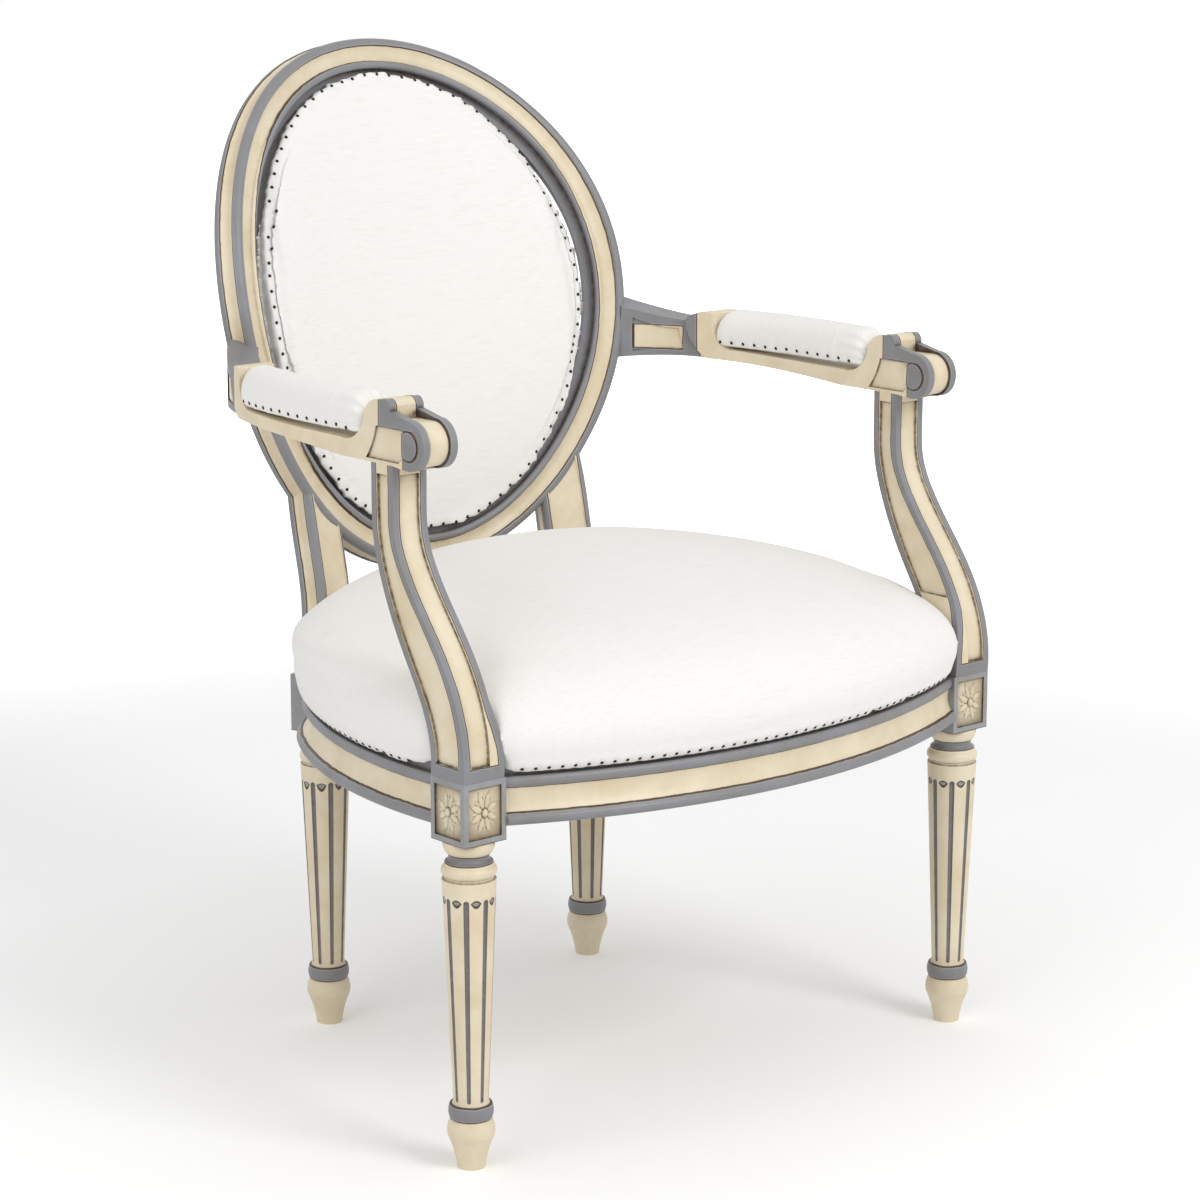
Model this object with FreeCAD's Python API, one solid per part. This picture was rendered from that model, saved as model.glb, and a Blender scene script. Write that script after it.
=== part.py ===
import FreeCAD, Part
import math
import os

# An open armchair with an oval back, in millimetres. X runs across the seat, the sitter faces -Y
# and Z is up. While it is built, Y = 0 lies on the axes of the front legs; at the end the whole
# chair is moved so that its origin is the middle of its footprint, on the floor.
# Left pieces lie at -X and right pieces at +X.

Vector = FreeCAD.Vector

# Stance of the four legs
frontLegSpan = 610.0
rearLegSpan = 340.0
legDepth = 399.0
dieSize = 47.0
dieBottom = 304.0
dieTop = 360.6

# Turning of a leg, from the floor up
footTipRadius = 12.5
footRadius = 21.5
footRadiusHeight = 35.0
ankleBottom = 46.9
ankleHeight = 13.5
ankleRadius = 20.4
shaftLowRadius = 15.9
shaftTopRadius = 24.2
shaftTop = 268.7
neckRadius = 22.4
ringRadius = 24.9
ringBottom = 271.4
ringHeight = 10.0
scotiaRadius = 18.2
capBottom = 291.5
capRadius = 23.0

# Flutes of a leg
fluteCount = 8
fluteBottom = 65.5
fluteTop = 251.0
fluteLowRadius = 1.9
fluteTopRadius = 2.7

# Recessed panels of the front dice
panelBorder = 5.2
panelDepth = 2.4

# Moulded seat rails
railBottom = 316.0
railTop = 359.0
railThickness = 36.0
railLowBead = 11.0
railTopBead = 9.5
railStepBack = 7.0
railCove = 3.6
railProud = 3.5
ledgeRise = 13.0
ledgeSetback = 14.0
frontBow = 67.0
sideRadius = 505.0
sideStartAngle = -4.37
sideTurnAngle = 30.6
rearPostDepth = 34.0

# Tenons, dowels and screws
fitClearance = 0.2
tenonThickness = 12.0
tenonHeight = 30.0
frontTenonLength = 20.0
rearTenonLength = 15.0
dowelRadius = 4.5
dowelReach = 14.0
screwRadius = 2.2
screwHeadRadius = 4.4
screwHeadHeight = 2.6
screwLength = 30.0
cornerBlockReach = 66.0
cornerBlockHeight = 34.0

# Curved and raked back
backRadius = 450.2
backRake = 12.74
medallionHeight = 703.2
stileProud = 2.0
ovalHalfWidth = 237.3
ovalHalfHeight = 268.3
ovalEgg = 0.036
frameWidth = 31.3
frameThickness = 29.0
frameBead = 7.5
frameInnerBead = 7.0
innerBeadRise = 3.8
tackLedge = 11.0
tackLedgeFront = 8.0
tackLedgeRear = 23.5
crestHalfAngle = 42.0
bottomHalfAngle = 48.0
stileWidth = 51.0
stileUpperCentre = 151.0
stileStraightFrom = 452.0
stileTop = 575.0

# Arms and their supports
armUnderside = 628.0
armWidth = 37.5
armOutset = 328.5
armStraightTo = 180.0
armSweepPower = 2.9
neckWidth = 29.0
scrollY = 50.0
scrollRise = 20.0
scrollRadius = 22.0
scrollDiscRadius = 12.9
scrollDiscProud = 0.8
scrollBead = 7.5
scrollGroove = 2.4
cradleFloorRise = 16.5
cradleRimRise = 56.0
supportTopWidth = 37.0
supportFootWidth = 45.0
supportFootDepth = 46.5
supportTopDepth = 31.0
supportFootRise = 70.0
supportSweep = 88.0
supportSweepFrom = 380.0
supportSweepTo = 580.0
supportTaperFrom = 450.0
supportTaperTo = 560.0
coveDepth = 2.6
edgeBead = 8.0

# Upholstery
webWidth = 52.0
webThickness = 1.2
hessianThickness = 1.0
coverThickness = 2.0
padGap = 0.3
seatCrownHeight = 459.0
seatBulge = 5.0
seatRearInset = 11.0
seatClearance = 1.0
backCrown = 24.0
armPadTop = 688.0
armPadWidth = 43.0
armPadStart = 119.0
armPadEnd = 320.0

# Derived places
frontLegX = frontLegSpan / 2
rearLegX = rearLegSpan / 2
halfDie = dieSize / 2
rake = math.radians(backRake)
upBack = Vector(0, math.sin(rake), math.cos(rake))
toRear = Vector(0, math.cos(rake), -math.sin(rake))
ledgeTop = railTop + ledgeRise
rearToe = math.degrees(math.asin(rearLegX / backRadius))


def mirrored(shape):
    return shape.mirror(Vector(0, 0, 0), Vector(1, 0, 0))


def box(xLow, xHigh, yLow, yHigh, zLow, zHigh):
    return Part.makeBox(xHigh - xLow, yHigh - yLow, zHigh - zLow, Vector(xLow, yLow, zLow))


def largestSolid(shape):
    return max(shape.Solids, key=lambda solid: solid.Volume)


# A closed outline: two numbers are a corner, four are the middle and the end of an arc
def outline(steps, place):
    edges = []
    first = place(steps[0][0], steps[0][1])
    last = first
    for step in steps[1:]:
        end = place(step[-2], step[-1])
        if len(step) == 4:
            edges.append(Part.Arc(last, place(step[0], step[1]), end).toShape())
        else:
            edges.append(Part.makeLine(last, end))
        last = end
    if last.distanceToPoint(first) > 1e-6:
        edges.append(Part.makeLine(last, first))
    return Part.Wire(edges)


def sidePlate(steps, xLow, xHigh):
    wire = outline(steps, lambda y, z: Vector(xLow, y, z))
    return Part.Face(wire).extrude(Vector(xHigh - xLow, 0, 0))


def smoothStep(value, low, high):
    share = min(max((value - low) / (high - low), 0.0), 1.0)
    return share * share * (3 - 2 * share)


# Turned and fluted leg below the die
def legTurning():
    ankleTop = ankleBottom + ankleHeight
    ringTop = ringBottom + ringHeight
    ankleNeck = ankleRadius - 2.2
    steps = [
        (0, 0),
        (footTipRadius, 0),
        (footTipRadius + 3.6, footRadiusHeight / 2, footRadius - 0.4, footRadiusHeight - 4),
        (footRadius, footRadiusHeight + 2, ankleNeck, ankleBottom),
        (ankleNeck + 0.8, ankleBottom),
        (ankleRadius, ankleBottom + ankleHeight / 2, ankleNeck + 0.8, ankleTop),
        (ankleNeck - 1, ankleTop),
        (shaftLowRadius + 0.5, ankleTop + 1.6, shaftLowRadius, ankleTop + 5),
        (shaftTopRadius, shaftTop),
        (neckRadius, shaftTop + 0.8),
        (neckRadius, ringBottom),
        (ringRadius, ringBottom + ringHeight / 2, neckRadius, ringTop),
        (neckRadius - 1, ringTop + 3.4),
        (scotiaRadius, ringTop + 6.4, scotiaRadius + 0.9, capBottom),
        (capRadius - 0.9, capBottom + 4.5, capRadius, dieBottom),
        (0, dieBottom),
    ]
    wire = outline(steps, lambda radius, z: Vector(radius, 0, z))
    return Part.Face(wire).revolve(Vector(0, 0, 0), Vector(0, 0, 1), 360)


# One rounded flute, a tapered channel with round ends that lies along the shaft
def fluteCutter():
    shaftBottom = ankleBottom + ankleHeight + 5
    slope = (shaftTopRadius - shaftLowRadius) / (shaftTop - shaftBottom)
    low = Vector(0, -(shaftLowRadius + slope * (fluteBottom - shaftBottom)) - 0.5, fluteBottom)
    high = Vector(0, -(shaftLowRadius + slope * (fluteTop - shaftBottom)) - 0.5, fluteTop)
    run = high - low
    channel = Part.makeCone(fluteLowRadius, fluteTopRadius, run.Length, low, run)
    lowEnd = Part.makeSphere(fluteLowRadius, low)
    highEnd = Part.makeSphere(fluteTopRadius, high)
    return channel.fuse([lowEnd, highEnd])


def flutedLeg():
    turning = legTurning()
    cutters = []
    for index in range(fluteCount):
        cutter = fluteCutter()
        cutter.rotate(Vector(0, 0, 0), Vector(0, 0, 1), 360.0 / fluteCount * index)
        cutters.append(cutter)
    return turning.cut(cutters)


# Tenons of the rails, grown by a clearance to cut their mortises
def frontRailTenon(grow):
    inner = frontLegX - halfDie
    return box(inner - 6, inner + frontTenonLength + grow, -halfDie + 10 - grow,
               -halfDie + 10 + tenonThickness + grow, tenonLow() - grow, tenonLow() + tenonHeight + grow)


def sideRailFrontTenon(grow):
    start = armOutset - (railThickness + tenonThickness) / 2
    return box(start - grow, start + tenonThickness + grow, halfDie - frontTenonLength - grow,
               halfDie + 6, tenonLow() - grow, tenonLow() + tenonHeight + grow)


def tenonLow():
    return (railBottom + railTop - tenonHeight) / 2


# Puts a piece drawn round the rear post's own axis in its toed-in place
def atRearPost(shape):
    shape.rotate(Vector(0, 0, 0), Vector(0, 0, 1), -rearToe)
    shape.translate(Vector(rearLegX, legDepth, 0))
    return shape


def sideRailRearTenon(grow):
    middle = -rearPostDepth / 2
    return atRearPost(box(halfDie - rearTenonLength - grow, halfDie + 5, middle - tenonThickness / 2 - grow,
                          middle + tenonThickness / 2 + grow, tenonLow() - grow,
                          tenonLow() + tenonHeight + grow))


def rearRailTenon(grow):
    return atRearPost(box(-halfDie - 5, -halfDie + rearTenonLength + grow, -tenonThickness / 2 - grow,
                          tenonThickness / 2 + grow, tenonLow() - grow, tenonLow() + tenonHeight + grow))


def supportDowel(grow):
    height = 2 * dowelReach + 2 * grow
    place = Vector(frontLegX + 5, -halfDie + 14, dieTop - dowelReach - grow)
    return Part.makeCylinder(dowelRadius + grow, height, place)


def frontLeg():
    leg = flutedLeg()
    die = box(-halfDie, halfDie, -halfDie, halfDie, dieBottom, dieTop)
    frontPanel = box(-halfDie + panelBorder, halfDie - panelBorder, -halfDie - 1, -halfDie + panelDepth,
                     dieBottom + panelBorder, dieTop - panelBorder)
    sidePanel = box(halfDie - panelDepth, halfDie + 1, -halfDie + panelBorder, halfDie - panelBorder,
                    dieBottom + panelBorder, dieTop - panelBorder)
    leg = leg.fuse(die.cut([frontPanel, sidePanel]))
    leg.translate(Vector(frontLegX, 0, 0))
    cutters = [frontRailTenon(fitClearance), sideRailFrontTenon(fitClearance), supportDowel(fitClearance)]
    return leg.cut(cutters)


# The curved surface of the back: across is measured from the middle, along up the rake,
# and depth towards the rear, square to the surface
def backSwing(across):
    return math.sqrt(backRadius ** 2 - across ** 2)


def backSurfaceY():
    drop = backRadius - backSwing(rearLegX)
    along = (dieTop - medallionHeight - drop * math.sin(rake)) / math.cos(rake)
    footFront = legDepth - halfDie - stileProud
    return footFront - along * math.sin(rake) + drop * math.cos(rake)


def backPoint(across, along):
    drop = backRadius - backSwing(across)
    return Vector(across, backSurfaceY(), medallionHeight) + upBack * along - toRear * drop


def backNormal(across):
    return Vector(across / backRadius, 0, 0) + toRear * (backSwing(across) / backRadius)


def ovalPlace(angle, inset):
    turn = math.radians(angle)
    across = (ovalHalfWidth - inset) * math.cos(turn) * (1 + ovalEgg * math.sin(turn))
    along = (ovalHalfHeight - inset * 1.03) * math.sin(turn)
    return across, along


# Outer edge of the oval at an angle, with the directions out of the oval and to the rear
def frameDirections(angle):
    across, along = ovalPlace(angle, 0)
    centre = backPoint(across, along)
    before = backPoint(*ovalPlace(angle - 0.5, 0))
    after = backPoint(*ovalPlace(angle + 0.5, 0))
    normal = backNormal(across)
    tangent = (after - before).normalize()
    outward = tangent.cross(normal).normalize()
    if outward.dot(centre - backPoint(0, 0)) < 0:
        outward = outward * -1
    return centre, outward, normal


# Section of the oval frame: out is measured from the outer edge, rear from the front surface
def frameSection(angle):
    centre, outward, rearward = frameDirections(angle)
    innerFrom = -frameWidth + frameInnerBead
    bandMiddle = (innerFrom - frameBead) / 2
    coveMiddle = frameThickness / 2
    steps = [
        (-0.6, frameBead + 0.6),
        (0, frameBead),
        (-frameBead * 0.24, frameBead * 0.24, -frameBead, 0),
        (-frameBead - 0.6, 1.2),
        (bandMiddle, 3.6, innerFrom + 0.6, 1.2),
        (innerFrom, 0),
        (innerFrom - frameInnerBead / 2, -innerBeadRise, -frameWidth, 0.4),
        (-frameWidth, tackLedgeFront),
        (-frameWidth - tackLedge, tackLedgeFront),
        (-frameWidth - tackLedge, tackLedgeRear),
        (-frameWidth, tackLedgeRear),
        (-frameWidth, frameThickness),
        (-frameBead, frameThickness),
        (-frameBead * 0.24, frameThickness - frameBead * 0.24, 0, frameThickness - frameBead),
        (-0.6, frameThickness - frameBead - 0.6),
        (-3.2, coveMiddle, -0.6, frameBead + 0.6),
    ]
    return outline(steps, lambda out, rear: centre + outward * out + rearward * rear)


def framePiece(startAngle, endAngle, count):
    sections = []
    for index in range(count):
        sections.append(frameSection(startAngle + (endAngle - startAngle) * index / (count - 1)))
    return Part.makeLoft(sections, True, False)


# Everything inside the oval's outer face, to trim the pieces that end against the frame
def frameCore(startAngle, endAngle):
    sections = []
    for index in range(9):
        angle = startAngle + (endAngle - startAngle) * index / 8
        centre, outward, normal = frameDirections(angle)
        steps = [(-4, -60), (-4, 90), (-130, 90), (-130, -60)]
        sections.append(outline(steps, lambda out, rear: centre + outward * out + normal * rear))
    return Part.makeLoft(sections, True, False)


# A dowel across a joint of the oval frame, in the middle of the wood
def frameDowel(angle, grow):
    across, along = ovalPlace(angle, frameWidth * 0.55)
    normal = backNormal(across)
    middle = backPoint(across, along) + normal * (frameThickness / 2 + 1)
    ahead = backPoint(*ovalPlace(angle + 0.5, frameWidth * 0.55))
    behind = backPoint(*ovalPlace(angle - 0.5, frameWidth * 0.55))
    run = (ahead - behind).normalize()
    reach = dowelReach + grow
    return Part.makeCylinder(dowelRadius - 1 + grow, 2 * reach, middle - run * reach, run)


jointAngles = [90 - crestHalfAngle, 90 + crestHalfAngle, 270 - bottomHalfAngle, 270 + bottomHalfAngle]


# Stile that carries the back, above the rear post
def stileCentre(z):
    share = smoothStep(z, dieTop, stileStraightFrom)
    return rearLegX + (stileUpperCentre - rearLegX) * share


def stileSection(z, grow):
    middle = stileCentre(z)
    drop = backRadius - backSwing(middle)
    along = (z - medallionHeight - drop * math.sin(rake)) / math.cos(rake)
    centre = backPoint(middle, along)
    normal = backNormal(middle)
    sideways = upBack.cross(normal).normalize()
    if sideways.x < 0:
        sideways = sideways * -1
    width = dieSize + (stileWidth - dieSize) * smoothStep(z, dieTop, stileStraightFrom)
    half = width / 2 + grow
    steps = [(-half, -grow), (half, -grow), (half, frameThickness + grow), (-half, frameThickness + grow)]
    if grow > 0:
        return outline(steps, lambda side, rear: centre + sideways * side + normal * rear)
    steps = [
        (-half, frameThickness),
        (-half, frameBead),
        (-half + 1.8, 1.8, -half + frameBead, 0),
        (-half + frameBead + 0.6, 1.0),
        (0, 3.2, half - frameBead - 0.6, 1.0),
        (half - frameBead, 0),
        (half - 1.8, 1.8, half, frameBead),
        (half - 0.6, frameBead + 0.6),
        (half - 3.0, frameThickness / 2, half - 0.6, frameThickness - frameBead - 0.6),
        (half, frameThickness - frameBead),
        (half - 1.8, frameThickness - 1.8, half - frameBead, frameThickness),
    ]
    return outline(steps, lambda side, rear: centre + sideways * side + normal * rear)


def stile(grow):
    heights = [dieTop - 1.0, 395.0, 430.0, 470.0, 515.0, stileTop]
    return Part.makeLoft([stileSection(z, grow) for z in heights], True, False)


def rearLeg(framePieces, dowels):
    leg = flutedLeg()
    foot = box(-halfDie, halfDie, -halfDie, halfDie, dieBottom, dieTop)
    shoulder = box(-halfDie, halfDie, -rearPostDepth, 0, railBottom, dieTop)
    leg = atRearPost(leg.fuse([foot, shoulder]))
    upper = stile(0).cut(framePieces)
    leg = leg.fuse(largestSolid(upper))
    cutters = [sideRailRearTenon(fitClearance), rearRailTenon(fitClearance)] + dowels
    return largestSolid(leg.cut(cutters).removeSplitter())


# Moulded section of a seat rail: out is negative towards the inside of the seat
def railSteps():
    topBeadFrom = railTop - railTopBead
    lowBeadTop = railBottom + railLowBead
    return [
        (-railThickness, railBottom),
        (-railLowBead / 2, railBottom),
        (0, railBottom + railLowBead / 2, -railLowBead / 2 + 0.8, lowBeadTop),
        (-railLowBead / 2 - 0.6, lowBeadTop + 0.6),
        (-railStepBack - railCove, (lowBeadTop + topBeadFrom) / 2 + 2, -railStepBack - 2, topBeadFrom - 0.6),
        (-railStepBack - 1, topBeadFrom),
        (-railStepBack + 1.4, railTop - railTopBead / 2, -railStepBack - 1.4, railTop),
        (-ledgeSetback, railTop),
        (-ledgeSetback, ledgeTop),
        (-railThickness, ledgeTop),
    ]


# A strip bent round an upright axis; angles are measured from +X
def bentStrip(steps, centreX, centreY, radius, startAngle, endAngle):
    start = math.radians(startAngle)
    direction = Vector(math.cos(start), math.sin(start), 0)
    centre = Vector(centreX, centreY, 0)
    wire = outline(steps, lambda out, z: centre + direction * (radius + out) + Vector(0, 0, z))
    return Part.Face(wire).revolve(centre, Vector(0, 0, 1), endAngle - startAngle)


def bentRail(centreX, centreY, radius, startAngle, endAngle):
    return bentStrip(railSteps(), centreX, centreY, radius, startAngle, endAngle)


def frontArc():
    halfChord = frontLegX - halfDie
    radius = (halfChord ** 2 + frontBow ** 2) / (2 * frontBow)
    centreY = -halfDie - railProud - frontBow + radius
    return radius, centreY


def frontRail():
    radius, centreY = frontArc()
    inner = frontLegX - halfDie
    reach = math.degrees(math.asin((inner + 12) / radius))
    rail = bentRail(0, centreY, radius, 270 - reach, 270 + reach)
    rail = rail.common(box(-inner, inner, -400, 200, 0, 500))
    tenon = frontRailTenon(0)
    return rail.fuse([tenon, mirrored(tenon)])


# The side rail turns twice: a long bend from the front die, then a shorter one to the rear post
def sideBends():
    startAngle = math.radians(sideStartAngle)
    startX = frontLegX + halfDie
    firstX = startX - sideRadius * math.cos(startAngle)
    firstY = halfDie - sideRadius * math.sin(startAngle)
    turn = math.radians(sideTurnAngle)
    outward = Vector(math.cos(turn), math.sin(turn), 0)
    knee = Vector(firstX, firstY, 0) + outward * sideRadius
    toe = math.radians(rearToe)
    end = Vector(rearLegX + halfDie * math.cos(toe), legDepth - halfDie * math.sin(toe), 0)
    chord = end - knee
    radius = chord.Length ** 2 / (-2 * chord.dot(outward))
    second = knee - outward * radius
    endAngle = math.degrees(math.atan2(end.y - second.y, end.x - second.x))
    return Vector(firstX, firstY, 0), second, radius, endAngle


def rearPostBlock():
    return atRearPost(box(-halfDie, halfDie, -rearPostDepth, halfDie, 0, 500))


def sideRail():
    first, second, radius, endAngle = sideBends()
    long = bentRail(first.x, first.y, sideRadius, sideStartAngle - 1.5, sideTurnAngle)
    short = bentRail(second.x, second.y, radius, sideTurnAngle, endAngle + 4)
    beyond = atRearPost(box(-200, halfDie, -200, 200, 0, 500))
    rail = long.fuse(short).cut([box(0, 500, -200, halfDie, 0, 500), beyond, stile(fitClearance)])
    rail = rail.fuse([sideRailFrontTenon(0), sideRailRearTenon(0)])
    return largestSolid(rail.removeSplitter())


def rearArc():
    centreY = legDepth - backSwing(rearLegX)
    return backRadius + railThickness / 2, centreY


def rearRail():
    radius, centreY = rearArc()
    reach = math.degrees(math.asin(rearLegX / backRadius))
    rail = bentRail(0, centreY, radius, 90 - reach, 90 + reach)
    post = rearPostBlock().fuse(stile(fitClearance))
    rail = largestSolid(rail.cut([post, mirrored(post)]))
    tenon = rearRailTenon(0)
    return rail.fuse([tenon, mirrored(tenon)])


# Corner blocks behind the front legs and in front of the rear posts
def frontBlockCorners():
    radius, centreY = frontArc()
    inside = radius - railThickness - fitClearance
    first = sideBends()[0]
    sideInside = sideRadius - railThickness - fitClearance
    farX = frontLegX - halfDie - cornerBlockReach
    farY = halfDie + cornerBlockReach
    nearX = frontLegX - halfDie - fitClearance
    nearY = halfDie + fitClearance
    return [
        (farX, centreY - math.sqrt(inside ** 2 - farX ** 2)),
        (nearX, centreY - math.sqrt(inside ** 2 - nearX ** 2)),
        (nearX, nearY),
        (first.x + math.sqrt(sideInside ** 2 - (nearY - first.y) ** 2), nearY),
        (first.x + math.sqrt(sideInside ** 2 - (farY - first.y) ** 2), farY),
    ]


def rearBlockCorners():
    second, radius = sideBends()[1:3]
    inside = radius - railThickness - fitClearance
    rearRadius, rearCentre = rearArc()
    rearInside = rearRadius - railThickness - fitClearance
    toe = math.radians(rearToe)
    across = Vector(math.cos(toe), -math.sin(toe), 0)
    forward = Vector(-math.sin(toe), -math.cos(toe), 0)
    post = Vector(rearLegX, legDepth, 0)
    face = post + forward * (rearPostDepth + fitClearance)
    offset = (face - second).dot(across)
    gap = (face - second).dot(forward)
    frontOuter = face + across * (math.sqrt(inside ** 2 - gap ** 2) - offset)
    frontInner = post - across * (halfDie + fitClearance) + forward * (rearPostDepth + fitClearance)
    farRear = rearLegX - halfDie - cornerBlockReach
    rearX = frontInner.x + 6
    farSide = frontOuter.y - cornerBlockReach * 0.8
    return [
        (second.x + math.sqrt(inside ** 2 - (farSide - second.y) ** 2), farSide),
        (frontOuter.x, frontOuter.y),
        (frontInner.x, frontInner.y),
        (rearX, rearCentre + math.sqrt(rearInside ** 2 - rearX ** 2)),
        (farRear, rearCentre + math.sqrt(rearInside ** 2 - farRear ** 2)),
    ]


def cornerBlock(corners):
    middle = (railBottom + railTop) / 2
    wire = outline(corners, lambda x, y: Vector(x, y, middle - cornerBlockHeight / 2))
    return Part.Face(wire).extrude(Vector(0, 0, cornerBlockHeight))


# Two screws hold each block, one into each rail; each head sits in a recess of the slanted face
def blockScrews(corners, grow):
    middle = Vector(0, 0, (railBottom + railTop) / 2)
    farFirst = Vector(corners[0][0], corners[0][1], 0)
    farSecond = Vector(corners[4][0], corners[4][1], 0)
    slant = farSecond - farFirst
    screws = []
    for share, wall in ((0.24, (corners[0], corners[1])), (0.76, (corners[4], corners[3]))):
        start = farFirst + slant * share
        along = Vector(wall[1][0] - wall[0][0], wall[1][1] - wall[0][1], 0)
        into = Vector(-along.y, along.x, 0).normalize()
        if into.dot(Vector(wall[0][0], wall[0][1], 0) - start) < 0:
            into = into * -1
        seat = start + into * 4.5 + middle
        shank = Part.makeCylinder(screwRadius + grow, screwLength + grow, seat, into)
        head = Part.makeCylinder(screwHeadRadius + grow, screwHeadHeight + grow * 40,
                                 seat - into * (screwHeadHeight + grow * 40), into)
        screws.append(shank.fuse(head))
    return screws


# Arm support, a sweeping bracket from the die to the arm
def supportMiddle(z):
    return supportSweep * smoothStep(z, supportSweepFrom, supportSweepTo)


def supportDepth(z):
    slope = (supportMiddle(z + 1) - supportMiddle(z - 1)) / 2
    thick = supportFootDepth + (supportTopDepth - supportFootDepth) * smoothStep(z, supportTaperFrom,
                                                                                 supportTaperTo)
    return thick * math.sqrt(1 + slope * slope)


# Side view of the support between two heights; inset moves both edges inwards
def supportFace(low, high, frontInset, rearInset, x):
    count = 9
    heights = [low + (high - low) * index / (count - 1) for index in range(count)]
    front = [Vector(x, supportMiddle(z) - supportDepth(z) / 2 + frontInset, z) for z in heights]
    rear = [Vector(x, supportMiddle(z) + supportDepth(z) / 2 - rearInset, z) for z in heights]
    frontCurve = Part.BSplineCurve()
    frontCurve.interpolate(front)
    rearCurve = Part.BSplineCurve()
    rearCurve.interpolate(rear)
    edges = [frontCurve.toShape(), Part.makeLine(front[-1], rear[-1]), rearCurve.toShape(),
             Part.makeLine(rear[0], front[0])]
    return Part.Face(Part.Wire(Part.sortEdges(edges)[0]))


# The support's bare form: an even upper part and a foot that spreads to cover the die
def supportForm(grow):
    inner = armOutset - supportTopWidth
    spread = supportFootWidth - supportTopWidth
    footInner = inner - spread
    upper = supportFace(dieTop, armUnderside, -grow, -grow, inner - grow)
    upper = upper.extrude(Vector(supportTopWidth + 2 * grow, 0, 0))
    foot = supportFace(dieTop, armUnderside, -grow, -grow, footInner - grow)
    foot = foot.extrude(Vector(supportTopWidth, 0, 0))
    bareFrom = dieTop + supportFootRise
    trim = outline([(footInner - 2 * grow - 1, dieTop + 14), (footInner - grow, dieTop + 14),
                    (footInner - grow + spread * 0.35, (dieTop + bareFrom) / 2, inner - grow, bareFrom),
                    (inner + 5, bareFrom), (inner + 5, armUnderside + 1),
                    (footInner - 2 * grow - 1, armUnderside + 1)],
                   lambda x, z: Vector(x, -200, z))
    foot = foot.cut(Part.Face(trim).extrude(Vector(0, 500, 0)))
    return upper.fuse(foot)


def armSupport():
    inner = armOutset - supportTopWidth
    high = armUnderside
    body = supportForm(0)
    channelLow = dieTop + 13
    channelHigh = high - 9
    frontCove = coveBand(channelLow, channelHigh)
    sideFace = supportFace(channelLow, channelHigh, edgeBead, edgeBead, armOutset - coveDepth)
    outerCove = sideFace.extrude(Vector(coveDepth + 5, 0, 0))
    innerFace = supportFace(channelLow + 62, channelHigh, edgeBead, edgeBead, inner - 5)
    innerCove = innerFace.extrude(Vector(coveDepth + 5, 0, 0))
    body = body.cut([frontCove, outerCove, innerCove])
    return largestSolid(body.cut([supportDowel(fitClearance), armDowel(fitClearance)]))


# The cove of the support's front face, as deep as its side coves
def coveBand(low, high):
    inner = armOutset - supportTopWidth
    count = 9
    heights = [low + (high - low) * index / (count - 1) for index in range(count)]
    outerPoints = [Vector(inner + edgeBead, supportMiddle(z) - supportDepth(z) / 2 - 6, z) for z in heights]
    innerPoints = [Vector(inner + edgeBead, supportMiddle(z) - supportDepth(z) / 2 + coveDepth, z)
                   for z in heights]
    outerCurve = Part.BSplineCurve()
    outerCurve.interpolate(outerPoints)
    innerCurve = Part.BSplineCurve()
    innerCurve.interpolate(innerPoints)
    edges = [outerCurve.toShape(), Part.makeLine(outerPoints[-1], innerPoints[-1]), innerCurve.toShape(),
             Part.makeLine(innerPoints[0], outerPoints[0])]
    face = Part.Face(Part.Wire(Part.sortEdges(edges)[0]))
    return face.extrude(Vector(supportTopWidth - 2 * edgeBead, 0, 0))


def armDowel(grow):
    middleX = armOutset - supportTopWidth / 2
    place = Vector(middleX, supportMiddle(armUnderside), armUnderside - dowelReach - grow)
    return Part.makeCylinder(dowelRadius + grow, 2 * dowelReach + 2 * grow, place)


# Where the arm meets the outer side of the oval frame
def armJointAngle():
    return math.degrees(math.asin((armUnderside + 33 - medallionHeight) / ovalHalfHeight))


def armEnd():
    across, along = ovalPlace(armJointAngle(), 4)
    return backPoint(across, along) + backNormal(across) * (frameThickness / 2)


# Middle line of the arm in plan: straight, then swept in towards the back
def armCentre(y):
    straight = armOutset - armWidth / 2
    if y <= armStraightTo:
        return straight
    end = armEnd()
    share = (y - armStraightTo) / (end.y - armStraightTo)
    return straight + (end.x - straight) * share ** armSweepPower


def armStrip(halfWidth):
    last = armEnd().y + 14
    stations = [armStraightTo + (last - armStraightTo) * index / 7 for index in range(8)]
    outer = []
    inner = []
    for y in stations:
        slope = (armCentre(y + 0.5) - armCentre(y - 0.5))
        length = math.sqrt(1 + slope * slope)
        across = Vector(1 / length, -slope / length, 0)
        centre = Vector(armCentre(y), y, 400)
        outer.append(centre + across * halfWidth)
        inner.append(centre - across * halfWidth)
    outerCurve = Part.BSplineCurve()
    outerCurve.interpolate(outer)
    innerCurve = Part.BSplineCurve()
    innerCurve.interpolate(inner)
    front = -100
    outerFront = Vector(outer[0].x, front, 400)
    innerFront = Vector(inner[0].x, front, 400)
    edges = [Part.makeLine(outerFront, outer[0]), outerCurve.toShape(), Part.makeLine(outer[-1], inner[-1]),
             innerCurve.toShape(), Part.makeLine(inner[0], innerFront), Part.makeLine(innerFront, outerFront)]
    face = Part.Face(Part.Wire(Part.sortEdges(edges)[0]))
    return face.extrude(Vector(0, 0, 500))


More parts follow.
